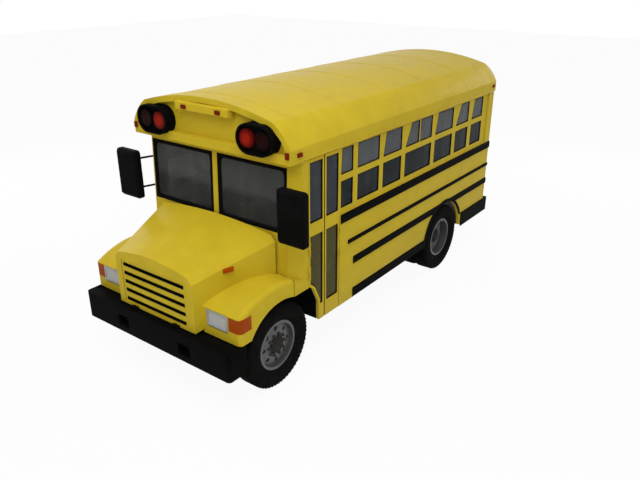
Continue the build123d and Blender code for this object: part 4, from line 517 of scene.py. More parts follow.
# Columns: finish, paint, scuffs, roughness, dust's top, dust's amount, grain, metallic, gloss
PAINTS = (
    ("chassis_black", grey(0.006), (0.05, 0.035, 0.025), 0.55, 1.1, 0.09, 120.0, 0.0, 0.010),
    ("mirror_black", grey(0.004), grey(0.018), 0.40, 1.0, 0.02, 300.0, 0.0, 0.008),
    ("wheel_grey", grey(0.050), (0.11, 0.105, 0.095), 0.42, 0.9, 0.14, 150.0, 0.0, 0.016),
    ("hub_grey", grey(0.018), (0.07, 0.065, 0.06), 0.40, 0.9, 0.12, 150.0, 0.0, 0.016),
    ("nut_steel", grey(0.045), (0.12, 0.10, 0.08), 0.46, 0.9, 0.12, 200.0, 0.3, 0.016),
    ("engine_iron", (0.035, 0.036, 0.038), (0.11, 0.08, 0.06), 0.6, 1.7, 0.5, 90.0, 0.4, 0.016),
    ("exhaust_steel", (0.065, 0.052, 0.044), (0.13, 0.075, 0.045), 0.55, 1.0, 0.35, 70.0, 0.5,
     0.016),
    ("rubber_seal", grey(0.004), grey(0.014), 0.62, 1.0, 0.03, 260.0, 0.0, 0.008),
    ("dark_plastic", (0.018, 0.018, 0.019), grey(0.05), 0.55, 1.0, 0.2, 330.0, 0.0, 0.016),
    ("pale_steel", (0.30, 0.30, 0.29), (0.45, 0.44, 0.42), 0.36, 1.0, 0.2, 180.0, 0.7, 0.016),
    ("plate_white", (0.46, 0.46, 0.44), (0.30, 0.30, 0.29), 0.40, 1.2, 0.25, 60.0, 0.0, 0.016),
)
# Columns: finish, upper tint with a painted reflection, lower tint with a painted view of the
# cabin, height where they meet, alpha
GLASSES = (
    ("windshield_glass", (0.085, 0.092, 0.092), (0.040, 0.044, 0.044), 2.15, 0.62),
    ("window_glass", (0.118, 0.128, 0.132), (0.012, 0.018, 0.021), 2.25, 0.74),
    ("door_glass", (0.048, 0.056, 0.066), (0.100, 0.086, 0.024), 1.80, 0.76),
)
# Columns: finish, bright colour, dark colour, glow
WARNING_LENSES = (
    ("warning_red", (0.35, 0.013, 0.002), (0.09, 0.0025, 0.001), 0.05),
    ("deep_red", (0.020, 0.0006, 0.001), (0.004, 0.0006, 0.0006), 0.0),
)
# Columns: finish, bright colour, dark colour, glow, prisms
LENSES = (
    ("tail_red", (0.36, 0.014, 0.003), (0.16, 0.004, 0.002), 0.05, 95.0),
    ("marker_red", (0.24, 0.020, 0.002), (0.10, 0.007, 0.001), 0.02, 95.0),
    ("turn_amber", (0.42, 0.074, 0.002), (0.26, 0.036, 0.001), 0.03, 95.0),
    ("headlamp_clear", (0.62, 0.62, 0.60), (0.34, 0.34, 0.33), 0.06, 60.0),
)


def make_finishes():
    """All node groups and finishes."""
    for make_group in (make_dust_group, make_grain_group, make_edge_group, make_inner_group):
        make_group()
    lining = colours().lining
    cabin, anywhere = (2.62, 1.19, 4.0), grey(4.0)
    # Columns: finish, centre, axes that count, reach, paint inside
    for row in (("wall_yellow", (-0.5, 0.0, 0.0), (0.0, 1.0, 0.0), cabin, lining),
                ("end_yellow", (-0.5, 0.0, 0.0), (1.0, 1.0, 0.0), cabin, lining),
                ("roof_yellow", (-0.5, 0.0, 2.3), (0.0, 1.0, 1.0), cabin, lining),
                ("hood_yellow", (2.35, 0.0, 0.8), (1.0, 1.0, 1.0), anywhere, grey(0.012)),
                ("door_yellow", (0.0, 1.19, 0.0), (0.0, 0.0, 0.0), cabin, lining)):
        make_yellow(*row)
    make_painted("trim_black", colours().trim_black, (0.018, 0.017, 0.016), 0.42, 0.9, 0.014,
                 120.0, 0.0, 0.006)
    for make, table in ((make_painted, PAINTS), (make_glass, GLASSES),
                        (make_warning_lens, WARNING_LENSES), (make_lens, LENSES)):
        for row in table:
            make(*row)
    for make in (make_tyre_rubber, make_ribbed_floor, make_seat_vinyl, make_radiator_core,
                 make_mirror_silver):
        make()


# Columns: finish, then the nodes that wear it
NODE_FINISHES = (
    ("wall_yellow", "side_wall_left side_wall_right window_band_left window_band_right"),
    ("end_yellow", "front_wall rear_wall"),
    ("roof_yellow", "roof front_cap"),
    ("hood_yellow", "hood fender_left fender_right grille"),
    ("door_yellow", "door_leaf_front door_leaf_rear emergency_door"),
    ("trim_black", "rub_rails front_bumper rear_bumper lamp_housings hood_hinge_brackets"),
    ("mirror_black", "mirrors"),
    ("chassis_black", "frame_rails cross_members front_axle rear_axle leaf_springs drive_shaft "
                      "fuel_tank knuckle_left knuckle_right rear_wheel_wells"),
    ("engine_iron", "engine"),
    ("exhaust_steel", "exhaust"),
    ("radiator_core", "radiator"),
    ("floor_rubber", "floor step_well"),
    ("windshield_glass", "windshield_glass"),
    ("window_glass", "window_glass emergency_glass"),
    ("door_glass", "door_glass_front door_glass_rear"),
    ("deep_red", "red_lenses"),
    ("warning_red", "amber_lenses"),
    ("turn_amber", "turn_lamps"),
    ("headlamp_clear", "headlamps"),
    ("dark_plastic", "dashboard steering_wheel"),
    ("wheel_grey", "front_wheel_left front_wheel_right rear_wheels_left rear_wheels_right"),
    ("tyre_rubber", "front_tyre_left front_tyre_right rear_tyres_left rear_tyres_right"),
    ("seat_vinyl", "bench_seats driver_seat"),
)


def dress_nodes():
    """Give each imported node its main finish."""
    for finish, names in NODE_FINISHES:
        for name in names.split():
            mesh = NODES[name].data
            mesh.materials.clear()
            mesh.materials.append(bpy.data.materials[finish])
            for polygon in mesh.polygons:
                polygon.material_index = 0


def recolour_faces(node, finish, belongs):
    """Give a second finish to the faces whose middle passes a test."""
    mesh = NODES[node].data
    mesh.materials.append(bpy.data.materials[finish])
    for polygon in mesh.polygons:
        if belongs(polygon.center):
            polygon.material_index = len(mesh.materials) - 1


def tint_parts():
    """Second finishes: hubs, hinge ears, undersides, and lenses by their place."""
    for name, axle in (("front_wheel", FRONT_AXLE), ("rear_wheels", REAR_AXLE)):
        for label in ("left", "right"):
            recolour_faces(f"{name}_{label}", "hub_grey",
                           lambda c: hypot(c.x - axle.x, c.z - axle.z) < HUB_RADIUS)
    ear_x, cover_z = 3.162, 1.126
    step_x, step_half, step_back, step_floor = 1.49, 0.196, 0.644, 0.564
    recolour_faces("hood", "trim_black", lambda c: c.x > ear_x)
    recolour_faces("floor", "chassis_black", lambda c: c.z < cover_z)
    recolour_faces("step_well", "trim_black", lambda c: (
        abs(c.x - step_x) > step_half or c.y < step_back or c.z < step_floor))
    # The rear's warning lenses are all bright; markers sit at the corners and on the visor
    corner_y, visor_y, visor_z, tail_z, rear_x = 1.1, 0.4, 3.0, 2.5, -2.0
    recolour_faces("red_lenses", "warning_red", lambda c: c.x < rear_x)
    recolour_faces("red_lenses", "tail_red", lambda c: c.z < tail_z or abs(c.y) > corner_y)
    recolour_faces("amber_lenses", "marker_red", lambda c: (
        abs(c.y) > corner_y or (abs(c.y) < visor_y and c.z > visor_z)))


# Mesh building
ALONG = 0.97            # cosine to a normal, of a face that looks along it
STRAIGHT = 0.9995       # cosine between edges that run straight on


def add_piece(name, bm, body, finish, sharp=35.0):
    """Turn a bmesh into a piece that rides on a body."""
    mesh = bpy.data.meshes.new(name)
    bmesh.ops.recalc_face_normals(bm, faces=bm.faces)
    bm.to_mesh(mesh)
    bm.free()
    mesh.polygons.foreach_set("use_smooth", [True] * len(mesh.polygons))
    mesh.set_sharp_from_angle(angle=radians(sharp))
    mesh.materials.clear()
    mesh.materials.append(bpy.data.materials[finish])
    piece = bpy.data.objects.new(name, mesh)
    bpy.context.scene.collection.objects.link(piece)
    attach(piece, body)
    return piece


def skin(bm, rings, close=False, caps=False):
    """Faces between closed rings of points; close joins the last ring to the first."""
    rows = [[bm.verts.new(point) for point in ring] for ring in rings]
    pairs = list(zip(rows, rows[1:])) + ([(rows[-1], rows[0])] if close else [])
    for first, second in pairs:
        count = len(first)
        for index in range(count):
            after = (index + 1) % count
            bm.faces.new((first[index], first[after], second[after], second[index]))
    if caps:
        bm.faces.new(rows[0])
        bm.faces.new(rows[-1])


def circle(centre, first, second, radius, steps):
    """Points round a centre, in the plane of two directions."""
    turns = [tau * index / steps for index in range(steps)]
    return [centre + radius * (cos(turn) * first + sin(turn) * second) for turn in turns]


def axes_of(normal):
    """Two directions square to a normal."""
    side = UP if abs(normal.z) < 0.9 else AHEAD
    first = side.cross(normal).normalized()
    return first, normal.cross(first)


def turned(centre, normal, profile, steps):
    """Rings of a turned shape: profile of (lift along the normal, radius)."""
    first, second = axes_of(normal)
    return [circle(centre + normal * lift, first, second, radius, steps)
            for lift, radius in profile]


def stack(bm, centre, normal, profile, steps=16):
    """A turned solid."""
    skin(bm, turned(centre, normal, profile, steps), caps=True)


def hoop(bm, centre, normal, profile, steps):
    """A turned ring, whose section closes on itself."""
    skin(bm, turned(centre, normal, profile, steps), close=True)


def tube(bm, points, radius, steps=8, closed=False):
    """A round bar along points, its section carried along without a twist."""
    rings, first = [], None
    count = len(points)
    for index, point in enumerate(points):
        before = points[index - 1] if closed or index else point
        after = points[(index + 1) % count] if closed or index < count - 1 else point
        along = (after - before).normalized()
        first = first or axes_of(along)[0]
        first = (first - along * first.dot(along)).normalized()
        rings.append(circle(point, first, along.cross(first), radius, steps))
    skin(bm, rings, close=closed, caps=not closed)


def slab(bm, low, high, bevel, segments=2):
    """A box with rounded edges."""
    low, high = Vector(low), Vector(high)
    verts = bmesh.ops.create_cube(bm, size=1.0)["verts"]
    for vert in verts:
        vert.co = (low + high) / 2 + Vector(c * s for c, s in zip(vert.co, high - low))
    edges = list(dict.fromkeys(edge for vert in verts for edge in vert.link_edges))
    bmesh.ops.bevel(bm, geom=edges, offset=bevel, segments=segments, profile=0.5, affect="EDGES")


def rivet(bm, centre, normal, radius):
    """A low domed rivet head."""
    profile = ((-0.001, radius), (radius * 0.25, radius * 0.92), (radius * 0.55, radius * 0.45))
    stack(bm, centre, normal, profile, steps=7)


def rectangle(x, ys, zs):
    """Corners of an upright rectangle across the bus, from its first y to its second."""
    return [Vector((x, ys[i], zs[j])) for i, j in ((0, 0), (1, 0), (1, 1), (0, 1))]


def face_loops(node, normal, keep=lambda centre: True):
    """Corner loops round a node's flat faces that look along a normal and pass a test."""
    bm = bmesh.new()
    bm.from_mesh(NODES[node].data)
    bmesh.ops.remove_doubles(bm, verts=bm.verts, dist=1e-5)
    chosen = dict.fromkeys(face for face in bm.faces if face.normal.dot(normal) > ALONG
                           and keep(face.calc_center_median()))
    following = {}
    for face in chosen:
        for corner in face.loops:
            if not any(other in chosen for other in corner.edge.link_faces if other is not face):
                following[corner.vert] = corner.link_loop_next.vert
    loops = []
    while following:
        start, vert = following.popitem()
        points = [start.co.copy()]
        while vert is not start and vert in following:
            points.append(vert.co.copy())
            vert = following.pop(vert)
        loops.append(corners_only(points))
    bm.free()
    return sorted(loops, key=lambda points: tuple(round(part, 4) for part in points[0]))


def turns_of(points):
    """Each point of a closed loop with the directions that reach it and leave it."""
    ahead = points[1:] + points[:1]
    for index, point in enumerate(points):
        yield point, (point - points[index - 1]).normalized(), (ahead[index] - point).normalized()


def corners_only(points):
    """The loop without the points on its straight runs."""
    return [point for point, arrive, leave in turns_of(points) if arrive.dot(leave) < STRAIGHT]


def inset_loop(points, normal, inset, radius, steps=5):
    """The loop drawn inward, with rounded corners."""
    corners = []
    for point, arrive, leave in turns_of(points):
        first, second = normal.cross(arrive), normal.cross(leave)
        corners.append(point + (first + second) * inset / (1 + first.dot(second)))
    ring = []
    for index, corner in enumerate(corners):
        back = corners[index - 1] - corner
        ahead = corners[(index + 1) % len(corners)] - corner
        reach = min(radius, back.length * 0.45, ahead.length * 0.45)
        start, end = corner + back.normalized() * reach, corner + ahead.normalized() * reach
        for step in range(steps):
            t = step / (steps - 1)
            ring.append((1 - t) ** 2 * start + 2 * t * (1 - t) * corner + t ** 2 * end)
    return ring


def inset_rings(points, normal, section, radius):
    """The loop at each row of a section of (inset, lift along the normal)."""
    return [[point + normal * lift for point in inset_loop(points, normal, inset, radius)]
            for inset, lift in section]


def rubber_ring(bm, points, normal, width, height, radius, sink=0.004, spread=0.0):
    """A rounded rubber section along a loop, from its edge inward."""
    # Columns: inset from the loop, lift along the normal
    section = ((-spread, -sink), (-spread, height * 0.7), (width * 0.15, height),
               (width * 0.55, height), (width * 0.9, height * 0.55), (width, -sink))
    rings = []
    for inset, lift in section:
        rounding = max(0.002, radius * max(0.0, inset / width))
        ring = inset_loop(points, normal, inset, rounding)
        rings.append([point + normal * lift for point in ring])
    skin(bm, rings, close=True)


def surface_of(mesh):
    """A search tree over a mesh's faces."""
    return BVHTree.FromPolygons([vert.co for vert in mesh.vertices],
                                [polygon.vertices for polygon in mesh.polygons])


def spread_out(start, end, pitch):
    """Evenly spaced values between two ends."""
    count = max(1, ceil(abs(end - start) / pitch))
    return [start + (end - start) * index / count for index in range(count + 1)]


# Wheels
def wheel_stations():
    """For each wheel or twin pair: axle's name, side, body, direction out and middle."""
    for name, axle, wheel in (("front", FRONT_AXLE, "wheel"), ("rear", REAR_AXLE, "wheels")):
        for label, out in (("left", LEFT), ("right", RIGHT)):
            middle = Vector((axle.x, out.y * axle.y, axle.z))
            yield name, label, f"{name}_{wheel}_{label}", out, middle


# Columns: half width, radius, from the bead to the shoulder
TYRE_WALL = (
    (0.086, 0.288), (0.089, 0.306), (0.105, 0.316), (0.109, 0.322), (0.108, 0.328), (0.120, 0.352),
    (0.1285, 0.378), (0.1305, 0.381), (0.1315, 0.388), (0.1305, 0.396), (0.1325, 0.408),
    (0.1320, 0.436), (0.1290, 0.458), (0.1300, 0.461), (0.1285, 0.470), (0.1240, 0.482),
)
# Columns: half width, drop below the tread
TYRE_SHOULDER = ((0.1080, 0.004), (0.0980, 0.001), (0.0780, 0.0))
# Columns: groove's middle, its half width
TYRE_GROOVES = ((0.0610, 0.0065), (0.0215, 0.0060))


def tyre_section():
    """Half of the tyre's section from bead to middle: (axial, radius, kind)."""
    depth, edge = sizes().groove_depth, TYRE_RADIUS
    section = [(axial, radius, "plain") for axial, radius in TYRE_WALL]
    section += [(0.1205, 0.498, "notch"), (0.1150, 0.510, "notch")]
    section += [(axial, edge - drop, "notch") for axial, drop in TYRE_SHOULDER]
    section.append((0.0700, edge, "plain"))
    for middle, half in TYRE_GROOVES:
        for share, radius in ((1.0, edge), (0.6, edge - depth), (-0.6, edge - depth), (-1.0, edge)):
            section.append((middle + half * share, radius, "zigzag"))
    return section


def tyre_rings(centre):
    """Rings of a treaded tyre about a wheel's middle."""
    half = tyre_section()
    section = half + [(-axial, radius, kind) for axial, radius, kind in reversed(half)]
    steps = sizes().tread_pitches * 4
    notch = sizes().groove_depth * 0.8
    rings = []
    for step in range(steps):
        angle = tau * step / steps
        phase = step % 4
        sway = (0.0, 0.004, 0.0, -0.004)[phase]
        ring = []
        for axial, radius, kind in section:
            if kind == "notch" and phase in (0, 1):
                radius -= notch
            if kind == "zigzag":
                axial += sway
            ring.append(centre + Vector((radius * sin(angle), axial, radius * cos(angle))))
        rings.append(ring)
    return rings


def build_tyres():
    """Treaded tyres in place of the plain ones."""
    for name, _, body, out, middle in wheel_stations():
        bm = bmesh.new()
        for shift in (-TWIN_HALF, TWIN_HALF) if name == "rear" else (0.0,):
            skin(bm, tyre_rings(middle + out * shift), close=True)
        node = body.replace("wheel", "tyre")
        piece = add_piece(f"treaded_{node}", bm, body, "tyre_rubber", 28.0)
        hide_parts(node)


def wheel_nut(bm, seat, out):
    """A flanged hexagon nut with its stud's end."""
    stack(bm, seat, out, ((-0.002, 0.021), (0.004, 0.021), (0.006, 0.0185)), 18)
    stack(bm, seat, out, ((0.004, 0.0172), (0.022, 0.0172), (0.026, 0.0138)), 6)
    stack(bm, seat, out, ((0.024, 0.0095), (0.034, 0.0095), (0.036, 0.0075)), 10)


# Columns: nuts' seat beyond the wheel's middle, radius of their circle, bolts on the hub cap
NUT_CIRCLES = {"front": (0.068, 0.136, 6), "rear": (0.015, 0.143, 0)}
# Columns: drum's face beyond the wheel's middle, its depth, its bore
DRUMS = {"front": (0.044, 0.120, 0.100), "rear": (-0.040, 0.150, 0.112)}


def build_wheel_fittings():
    """Nuts, hub cap bolts and a valve stem on each wheel."""
    cap_seat, cap_circle, stem_circle = 0.079, 0.106, 0.25
    for name, label, body, out, middle in wheel_stations():
        seat, nut_circle, cap_bolts = NUT_CIRCLES[name]
        bm = bmesh.new()
        for centre in circle(middle + out * seat, AHEAD, UP, nut_circle, sizes().wheel_nuts):
            wheel_nut(bm, centre, out)
        for centre in circle(middle + out * cap_seat, AHEAD, UP, cap_circle, cap_bolts):
            stack(bm, centre, out, ((-0.006, 0.008), (0.009, 0.008), (0.011, 0.006)), 6)
        stem = middle + out * (seat + 0.01) + UP * stem_circle
        tube(bm, [stem - out * 0.03, stem, stem + out * 0.02 - UP * 0.018], 0.0045)
        add_piece(f"{name}_wheel_nuts_{label}", bm, body, "nut_steel", 30.0)


def build_brake_drums():
    """Finned drums that turn inside the wheels, behind their hand holes."""
    shell, fin_edge, fins = 0.198, 0.206, 4
    for name, label, body, out, middle in wheel_stations():
        face, depth, bore = DRUMS[name]
        profile = [(0.004, bore), (0.0, bore + 0.006), (0.0, 0.188), (0.008, shell)]
        for fin in range(fins):
            start = 0.022 + fin * (depth - 0.044) / fins
            profile += [(start, shell), (start + 0.003, fin_edge), (start + 0.012, fin_edge),
                        (start + 0.015, shell)]
        profile += [(depth, shell), (depth, 0.184), (0.014, 0.180), (0.014, bore)]
        bm = bmesh.new()
        hoop(bm, middle + out * face, -out, profile, 48)
        add_piece(f"{name}_brake_drum_{label}", bm, body, "engine_iron", 30.0)


# Rubber round the glass
def build_window_rubber():
    """Rubber round the fixed windows and the windshield."""
    width, height = sizes().window_rubber, 0.012
    wall_y, rear_x, rear_y = 1.15, -3.0, 1.1
    side_corner, rear_corner, windshield_corner = 0.03, 0.05, 0.07
    bm = bmesh.new()
    for normal in (LEFT, RIGHT):
        for loop in face_loops("window_glass", normal, lambda c: c.y * normal.y > wall_y):
            rubber_ring(bm, loop, normal, width, height, side_corner)
    for loop in face_loops("window_glass", ASTERN, lambda c: c.x < rear_x and abs(c.y) < rear_y):
        rubber_ring(bm, loop, ASTERN, width * 1.8, height * 2, rear_corner)
    add_piece("window_rubber", bm, "body", "rubber_seal")
    bm = bmesh.new()
    for loop in face_loops("windshield_glass", AHEAD):
        rubber_ring(bm, loop, AHEAD, sizes().windshield_rubber, height * 2, windshield_corner,
                    spread=0.012)
    add_piece("windshield_rubber", bm, "body", "rubber_seal")


def build_door_rubber():
    """Rubber on both sides of the doors' glass."""
    for glass, body, normal in (("door_glass_front", "door_front", LEFT),
                                ("door_glass_rear", "door_rear", LEFT),
                                ("emergency_glass", "emergency_door", ASTERN)):
        bm = bmesh.new()
        for way in (normal, -normal):
            for loop in face_loops(glass, way):
                rubber_ring(bm, loop, way, sizes().window_rubber, 0.012, 0.022)
        add_piece(f"{glass}_rubber", bm, body, "rubber_seal")


# Sheet-metal joints
def build_roof_seams():
    """Lapped strips over the roof's bows, with rivets along both edges."""
    roof = surface_of(NODES["roof"].data)
    low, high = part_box("roof")
    centre_z, rays, first_angle, sweep = 2.30, 60, 20, 140
    rivet_row, strip_top = 0.014, 0.002
    # Columns: place across the strip, lift off the roof
    section = ((-0.024, -0.001), (-0.022, 0.0022), (0.022, 0.0022), (0.024, -0.001))
    strips, heads = bmesh.new(), bmesh.new()
    for share in (0.02, 0.20, 0.40, 0.60, 0.80, 0.985):
        x = low.x + (high.x - low.x) * share
        rows = []
        for index in range(rays + 1):
            angle = radians(first_angle + sweep * index / rays)
            direction = Vector((0, cos(angle), sin(angle)))
            start = Vector((x, 0, centre_z)) + direction * 3.0
            hit, normal, _, _ = roof.ray_cast(start, -direction)
            if hit is not None:
                rows.append((hit, Vector((0, normal.y, normal.z)).normalized()))
        skin(strips, [[hit + AHEAD * across + normal * lift for across, lift in section]
                      for hit, normal in rows], caps=True)
        for hit, normal in rows[1:-1]:
            for across in (-rivet_row, rivet_row):
                seat = hit + AHEAD * across + normal * strip_top
                rivet(heads, seat, normal, sizes().rivet_radius)
    add_piece("roof_seams", strips, "body", "roof_yellow")
    add_piece("roof_rivets", heads, "body", "roof_yellow", 60.0)


def build_drip_rails():
    """A bead along the roof's lower edge on each side."""
    low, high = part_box("roof")
    overlap, rise, margin = 0.001, 0.004, 0.01
    # Columns: reach out from the wall, height over the rail's foot
    section = ((0.0, 0.000), (0.010, 0.002), (0.014, 0.010), (0.012, 0.016), (0.006, 0.012),
               (0.0, 0.020))
    bm = bmesh.new()
    for side in SIDES:
        points = [(side * (high.y + out - overlap), low.z + rise + up) for out, up in section]
        skin(bm, [[Vector((x, y, z)) for y, z in points]
                  for x in (low.x + margin, high.x - margin)], caps=True)
    add_piece("drip_rails", bm, "body", "roof_yellow")


def build_side_rivets():
    """Rivets along the rub rails and panel joints of both walls."""
    pitch, radius = sizes().rivet_pitch, sizes().rivet_radius
    low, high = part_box("rub_rails")
    door_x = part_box("side_wall_left")[1].x
    # Columns: rail's middle height, its front end behind the door
    rail_rows = ((1.738, 0.035), (1.390, 0.195), (1.096, 0.32))
    end_gap, joint_gap, seam_top = 0.04, 0.03, 0.0015
    joint_places = (-2.60, -0.62, 0.28)
    joint_heights = ((0.72, 1.035), (1.16, 1.355), (1.43, 1.67))
    # Columns: place across the seam, lift off the wall
    section = ((-0.016, -0.001), (-0.015, 0.0016), (0.015, 0.0016), (0.016, -0.001))
    rails, panels, seams = bmesh.new(), bmesh.new(), bmesh.new()
    for out in (LEFT, RIGHT):
        for z, back in rail_rows:
            for x in spread_out(low.x + end_gap, door_x - back, pitch):
                if hypot(x - REAR_AXLE.x, z - REAR_AXLE.z) > ARCH_CLEAR:
                    rivet(rails, Vector((x, out.y * high.y, z)), out, radius)
        for x in joint_places:
            for bottom, top in joint_heights:
                skin(seams, [[Vector((x + across, out.y * (WALL_Y + lift), z))
                              for across, lift in section] for z in (bottom, top)], caps=True)
                for z in spread_out(bottom + joint_gap, top - joint_gap, pitch * 0.8):
                    seat = Vector((x, out.y * (WALL_Y + seam_top), z))
                    rivet(panels, seat, out, radius * 0.9)
    add_piece("rail_rivets", rails, "body", "trim_black", 60.0)
    add_piece("panel_seams", seams, "body", "wall_yellow")
    add_piece("panel_rivets", panels, "body", "wall_yellow", 60.0)


# Lamps, bumper, grille and mirrors
def build_lamp_trims():
    """Bezels round the headlamps, and short hoods over the front warning lamps."""
    bm = bmesh.new()
    for loop in face_loops("headlamps", AHEAD):
        rubber_ring(bm, loop, AHEAD, 0.016, 0.010, 0.02, spread=0.010)
    add_piece("headlamp_bezels", bm, "hood", "pale_steel")
    face_x, steps, first_angle, sweep = 2.20, 24, -25, 230
    # Columns: reach forward, radius
    section = ((0.0, 0.112), (0.052, 0.116), (0.054, 0.112), (0.0, 0.108))
    bm = bmesh.new()
    for side in SIDES:
        for spread in (-LENS_SPREAD, LENS_SPREAD):
            centre = Vector((face_x, side * (POD_Y + spread), POD_Z))
            rings = []
            for index in range(steps + 1):
                angle = radians(first_angle + sweep * index / steps)
                fall = 0.45 + 0.55 * max(0.0, sin(angle))
                rings.append([centre + Vector((reach * fall, radius * cos(angle),
                                               radius * sin(angle)))
                              for reach, radius in section])
            skin(bm, rings, caps=True)
    add_piece("warning_lamp_hoods", bm, "body", "trim_black")


def build_bumper_fittings():
    """Pockets behind the front bumper's tow slots, and aprons that close the gap above it."""
    face_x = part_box("front_bumper")[1].x
    slot_y, slot_z, half_y, half_z, corner = 0.525, 0.655, 0.095, 0.075, 0.02
    bm = bmesh.new()
    for side in SIDES:
        middle = side * slot_y
        rings = []
        # Columns: depth behind the bumper's face, growth beyond the slot
        for depth, grow in ((0.112, 0.004), (0.004, 0.004), (0.004, -0.002), (0.10, -0.008),
                            (0.106, -0.012)):
            y, z = half_y + grow, half_z + grow
            corners = rectangle(face_x - depth, (middle - y, middle + y), (slot_z - z, slot_z + z))
            rings.append(inset_loop(corners, AHEAD, 0.0, corner))
        skin(bm, rings, caps=True)
        pin = Vector((face_x - 0.107, middle, slot_z))
        stack(bm, pin, AHEAD, ((0.0, 0.022), (0.05, 0.022), (0.056, 0.016)))
    add_piece("tow_pockets", bm, "body", "trim_black")
    # Columns: place along the bus, height
    section = ((3.140, 0.826), (3.140, 0.832), (3.012, 0.832), (3.006, 0.838), (3.006, 0.905),
               (3.000, 0.905), (3.000, 0.832), (3.006, 0.826))
    bm = bmesh.new()
    for side in SIDES:
        skin(bm, [[Vector((x, side * y, z)) for x, z in section] for y in (0.46, 1.185)],
             caps=True)
    add_piece("bumper_aprons", bm, "body", "rubber_seal")


def build_grille_screen():
    """A wire screen behind the grille's slots, and the slots' rolled edges."""
    low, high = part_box("grille")
    mesh_pitch, wire = 0.026, 0.0028
    x = low.x - 0.008
    bm = bmesh.new()
    for y in spread_out(low.y + 0.03, high.y - 0.03, mesh_pitch):
        tube(bm, [Vector((x, y, low.z + 0.01)), Vector((x, y, high.z - 0.01))], wire, 6)
    x -= 0.004
    for z in spread_out(low.z + 0.02, high.z - 0.02, mesh_pitch):
        tube(bm, [Vector((x, low.y + 0.02, z)), Vector((x, high.y - 0.02, z))], wire, 6)
    add_piece("grille_screen", bm, "hood", "trim_black")
    slot_width, slot_height = 0.8, 0.1      # a slot is wider and lower than these
    bm = bmesh.new()
    for loop in face_loops("grille", AHEAD):
        ys, zs = [point.y for point in loop], [point.z for point in loop]
        if max(ys) - min(ys) > slot_width and max(zs) - min(zs) < slot_height:
            rubber_ring(bm, loop[::-1], AHEAD, 0.010, 0.006, 0.004, sink=0.01)
    add_piece("grille_slot_edges", bm, "hood", "trim_black")


def build_grille_shroud():
    """A sheet funnel behind the grille that closes the gap round the radiator."""
    low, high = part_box("grille")
    core_low, core_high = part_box("radiator")
    sheet, lip, corner = 0.0025, -0.008, 0.02
    mouth = (low.y + 0.006, high.y - 0.006, low.z + 0.004, high.z - 0.006)
    throat = (core_low.y + 0.010, core_high.y - 0.010, low.z + 0.010, core_high.z - 0.012)
    mouth_x, lip_x = low.x - 0.0145, low.x - 0.020
    throat_x, core_x = core_high.x + 0.018, core_high.x + 0.008
    rings = []
    # Columns: opening, place along the bus, growth of the opening
    for opening, x, grow in ((mouth, mouth_x, 0.0), (mouth, lip_x, lip), (throat, throat_x, 0.0),
                             (throat, core_x, 0.0), (throat, core_x, sheet),
                             (throat, throat_x - sheet, sheet), (mouth, lip_x - sheet, lip),
                             (mouth, mouth_x - sheet, 0.0)):
        left, right, bottom, top = opening
        corners = rectangle(x, (left - grow, right + grow), (bottom - grow, top + grow))
        rings.append(inset_loop(corners, AHEAD, 0.0, corner))
    bm = bmesh.new()
    skin(bm, rings, close=True)
    add_piece("grille_shroud", bm, "hood", "chassis_black")


def build_mirror_faces():
    """Silvered glass in two panes on each mirror, with rubber rims."""
    edge_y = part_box("mirrors")[1].y
    face_x, corner = 2.2702, 0.03
    bm, glass = bmesh.new(), bmesh.new()
    for side in SIDES:
        ys = side * (edge_y - 0.035), side * (edge_y - 0.35)
        for zs in ((1.835, 2.05), (2.075, 2.39)):
            loop = rectangle(face_x, ys, zs)[::side]
            # Columns: inset from the pane's edge, lift off the mirror
            section = ((0.012, 0.0005), (0.016, 0.0025), (0.05, 0.0045))
            skin(glass, inset_rings(loop, ASTERN, section, corner), caps=True)
            rubber_ring(bm, loop, ASTERN, 0.014, 0.005, corner, sink=0.001)
    add_piece("mirror_glass", glass, "body", "mirror_silver", 60.0)
    add_piece("mirror_rims", bm, "body", "rubber_seal")


# Rear wall
def build_rear_fittings():
    """Rims round the tail lamps, and a blank number plate with its frame, bolts and lamp."""
    wall_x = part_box("rub_rails")[0].x
    lamp_y = 1.01
    rims = bmesh.new()
    for side in SIDES:
        for z, radius in ((1.54, 0.088), (1.33, 0.060)):
            # Columns: lift off the wall, growth beyond the lens
            profile = [(lift, radius + grow) for lift, grow in (
                (-0.001, 0.018), (0.008, 0.018), (0.015, 0.012), (0.016, 0.005), (0.010, 0.0005),
                (-0.001, 0.0005))]
            hoop(rims, Vector((wall_x, side * lamp_y, z)), ASTERN, profile, 40)
    add_piece("tail_lamp_rims", rims, "body", "trim_black")
    middle_y, middle_z, half_y, half_z, corner = 0.655, 1.03, 0.152, 0.078, 0.016
    corners = rectangle(wall_x, (middle_y + half_y, middle_y - half_y),
                        (middle_z - half_z, middle_z + half_z))
    # Columns: inset from the plate's edge, lift off the wall
    section = ((0.0, 0.001), (0.0, 0.0045), (0.004, 0.0055), (0.008, 0.0040), (0.030, 0.0042))
    plate = bmesh.new()
    skin(plate, inset_rings(corners, ASTERN, section, corner), caps=True)
    add_piece("blank_plate", plate, "body", "plate_white")
    holder = bmesh.new()
    rubber_ring(holder, corners, ASTERN, 0.007, 0.010, corner, sink=0.001, spread=0.010)
    for y in (middle_y - 0.09, middle_y + 0.09):
        for z in (middle_z - 0.056, middle_z + 0.056):
            bolt = ((0.002, 0.0075), (0.0065, 0.0075), (0.0085, 0.005))
            stack(holder, Vector((wall_x, y, z)), ASTERN, bolt, 12)
    slab(holder, (wall_x - 0.042, middle_y - 0.045, middle_z + 0.094),
         (wall_x + 0.001, middle_y + 0.045, middle_z + 0.122), 0.007)
    add_piece("plate_holder", holder, "body", "trim_black")


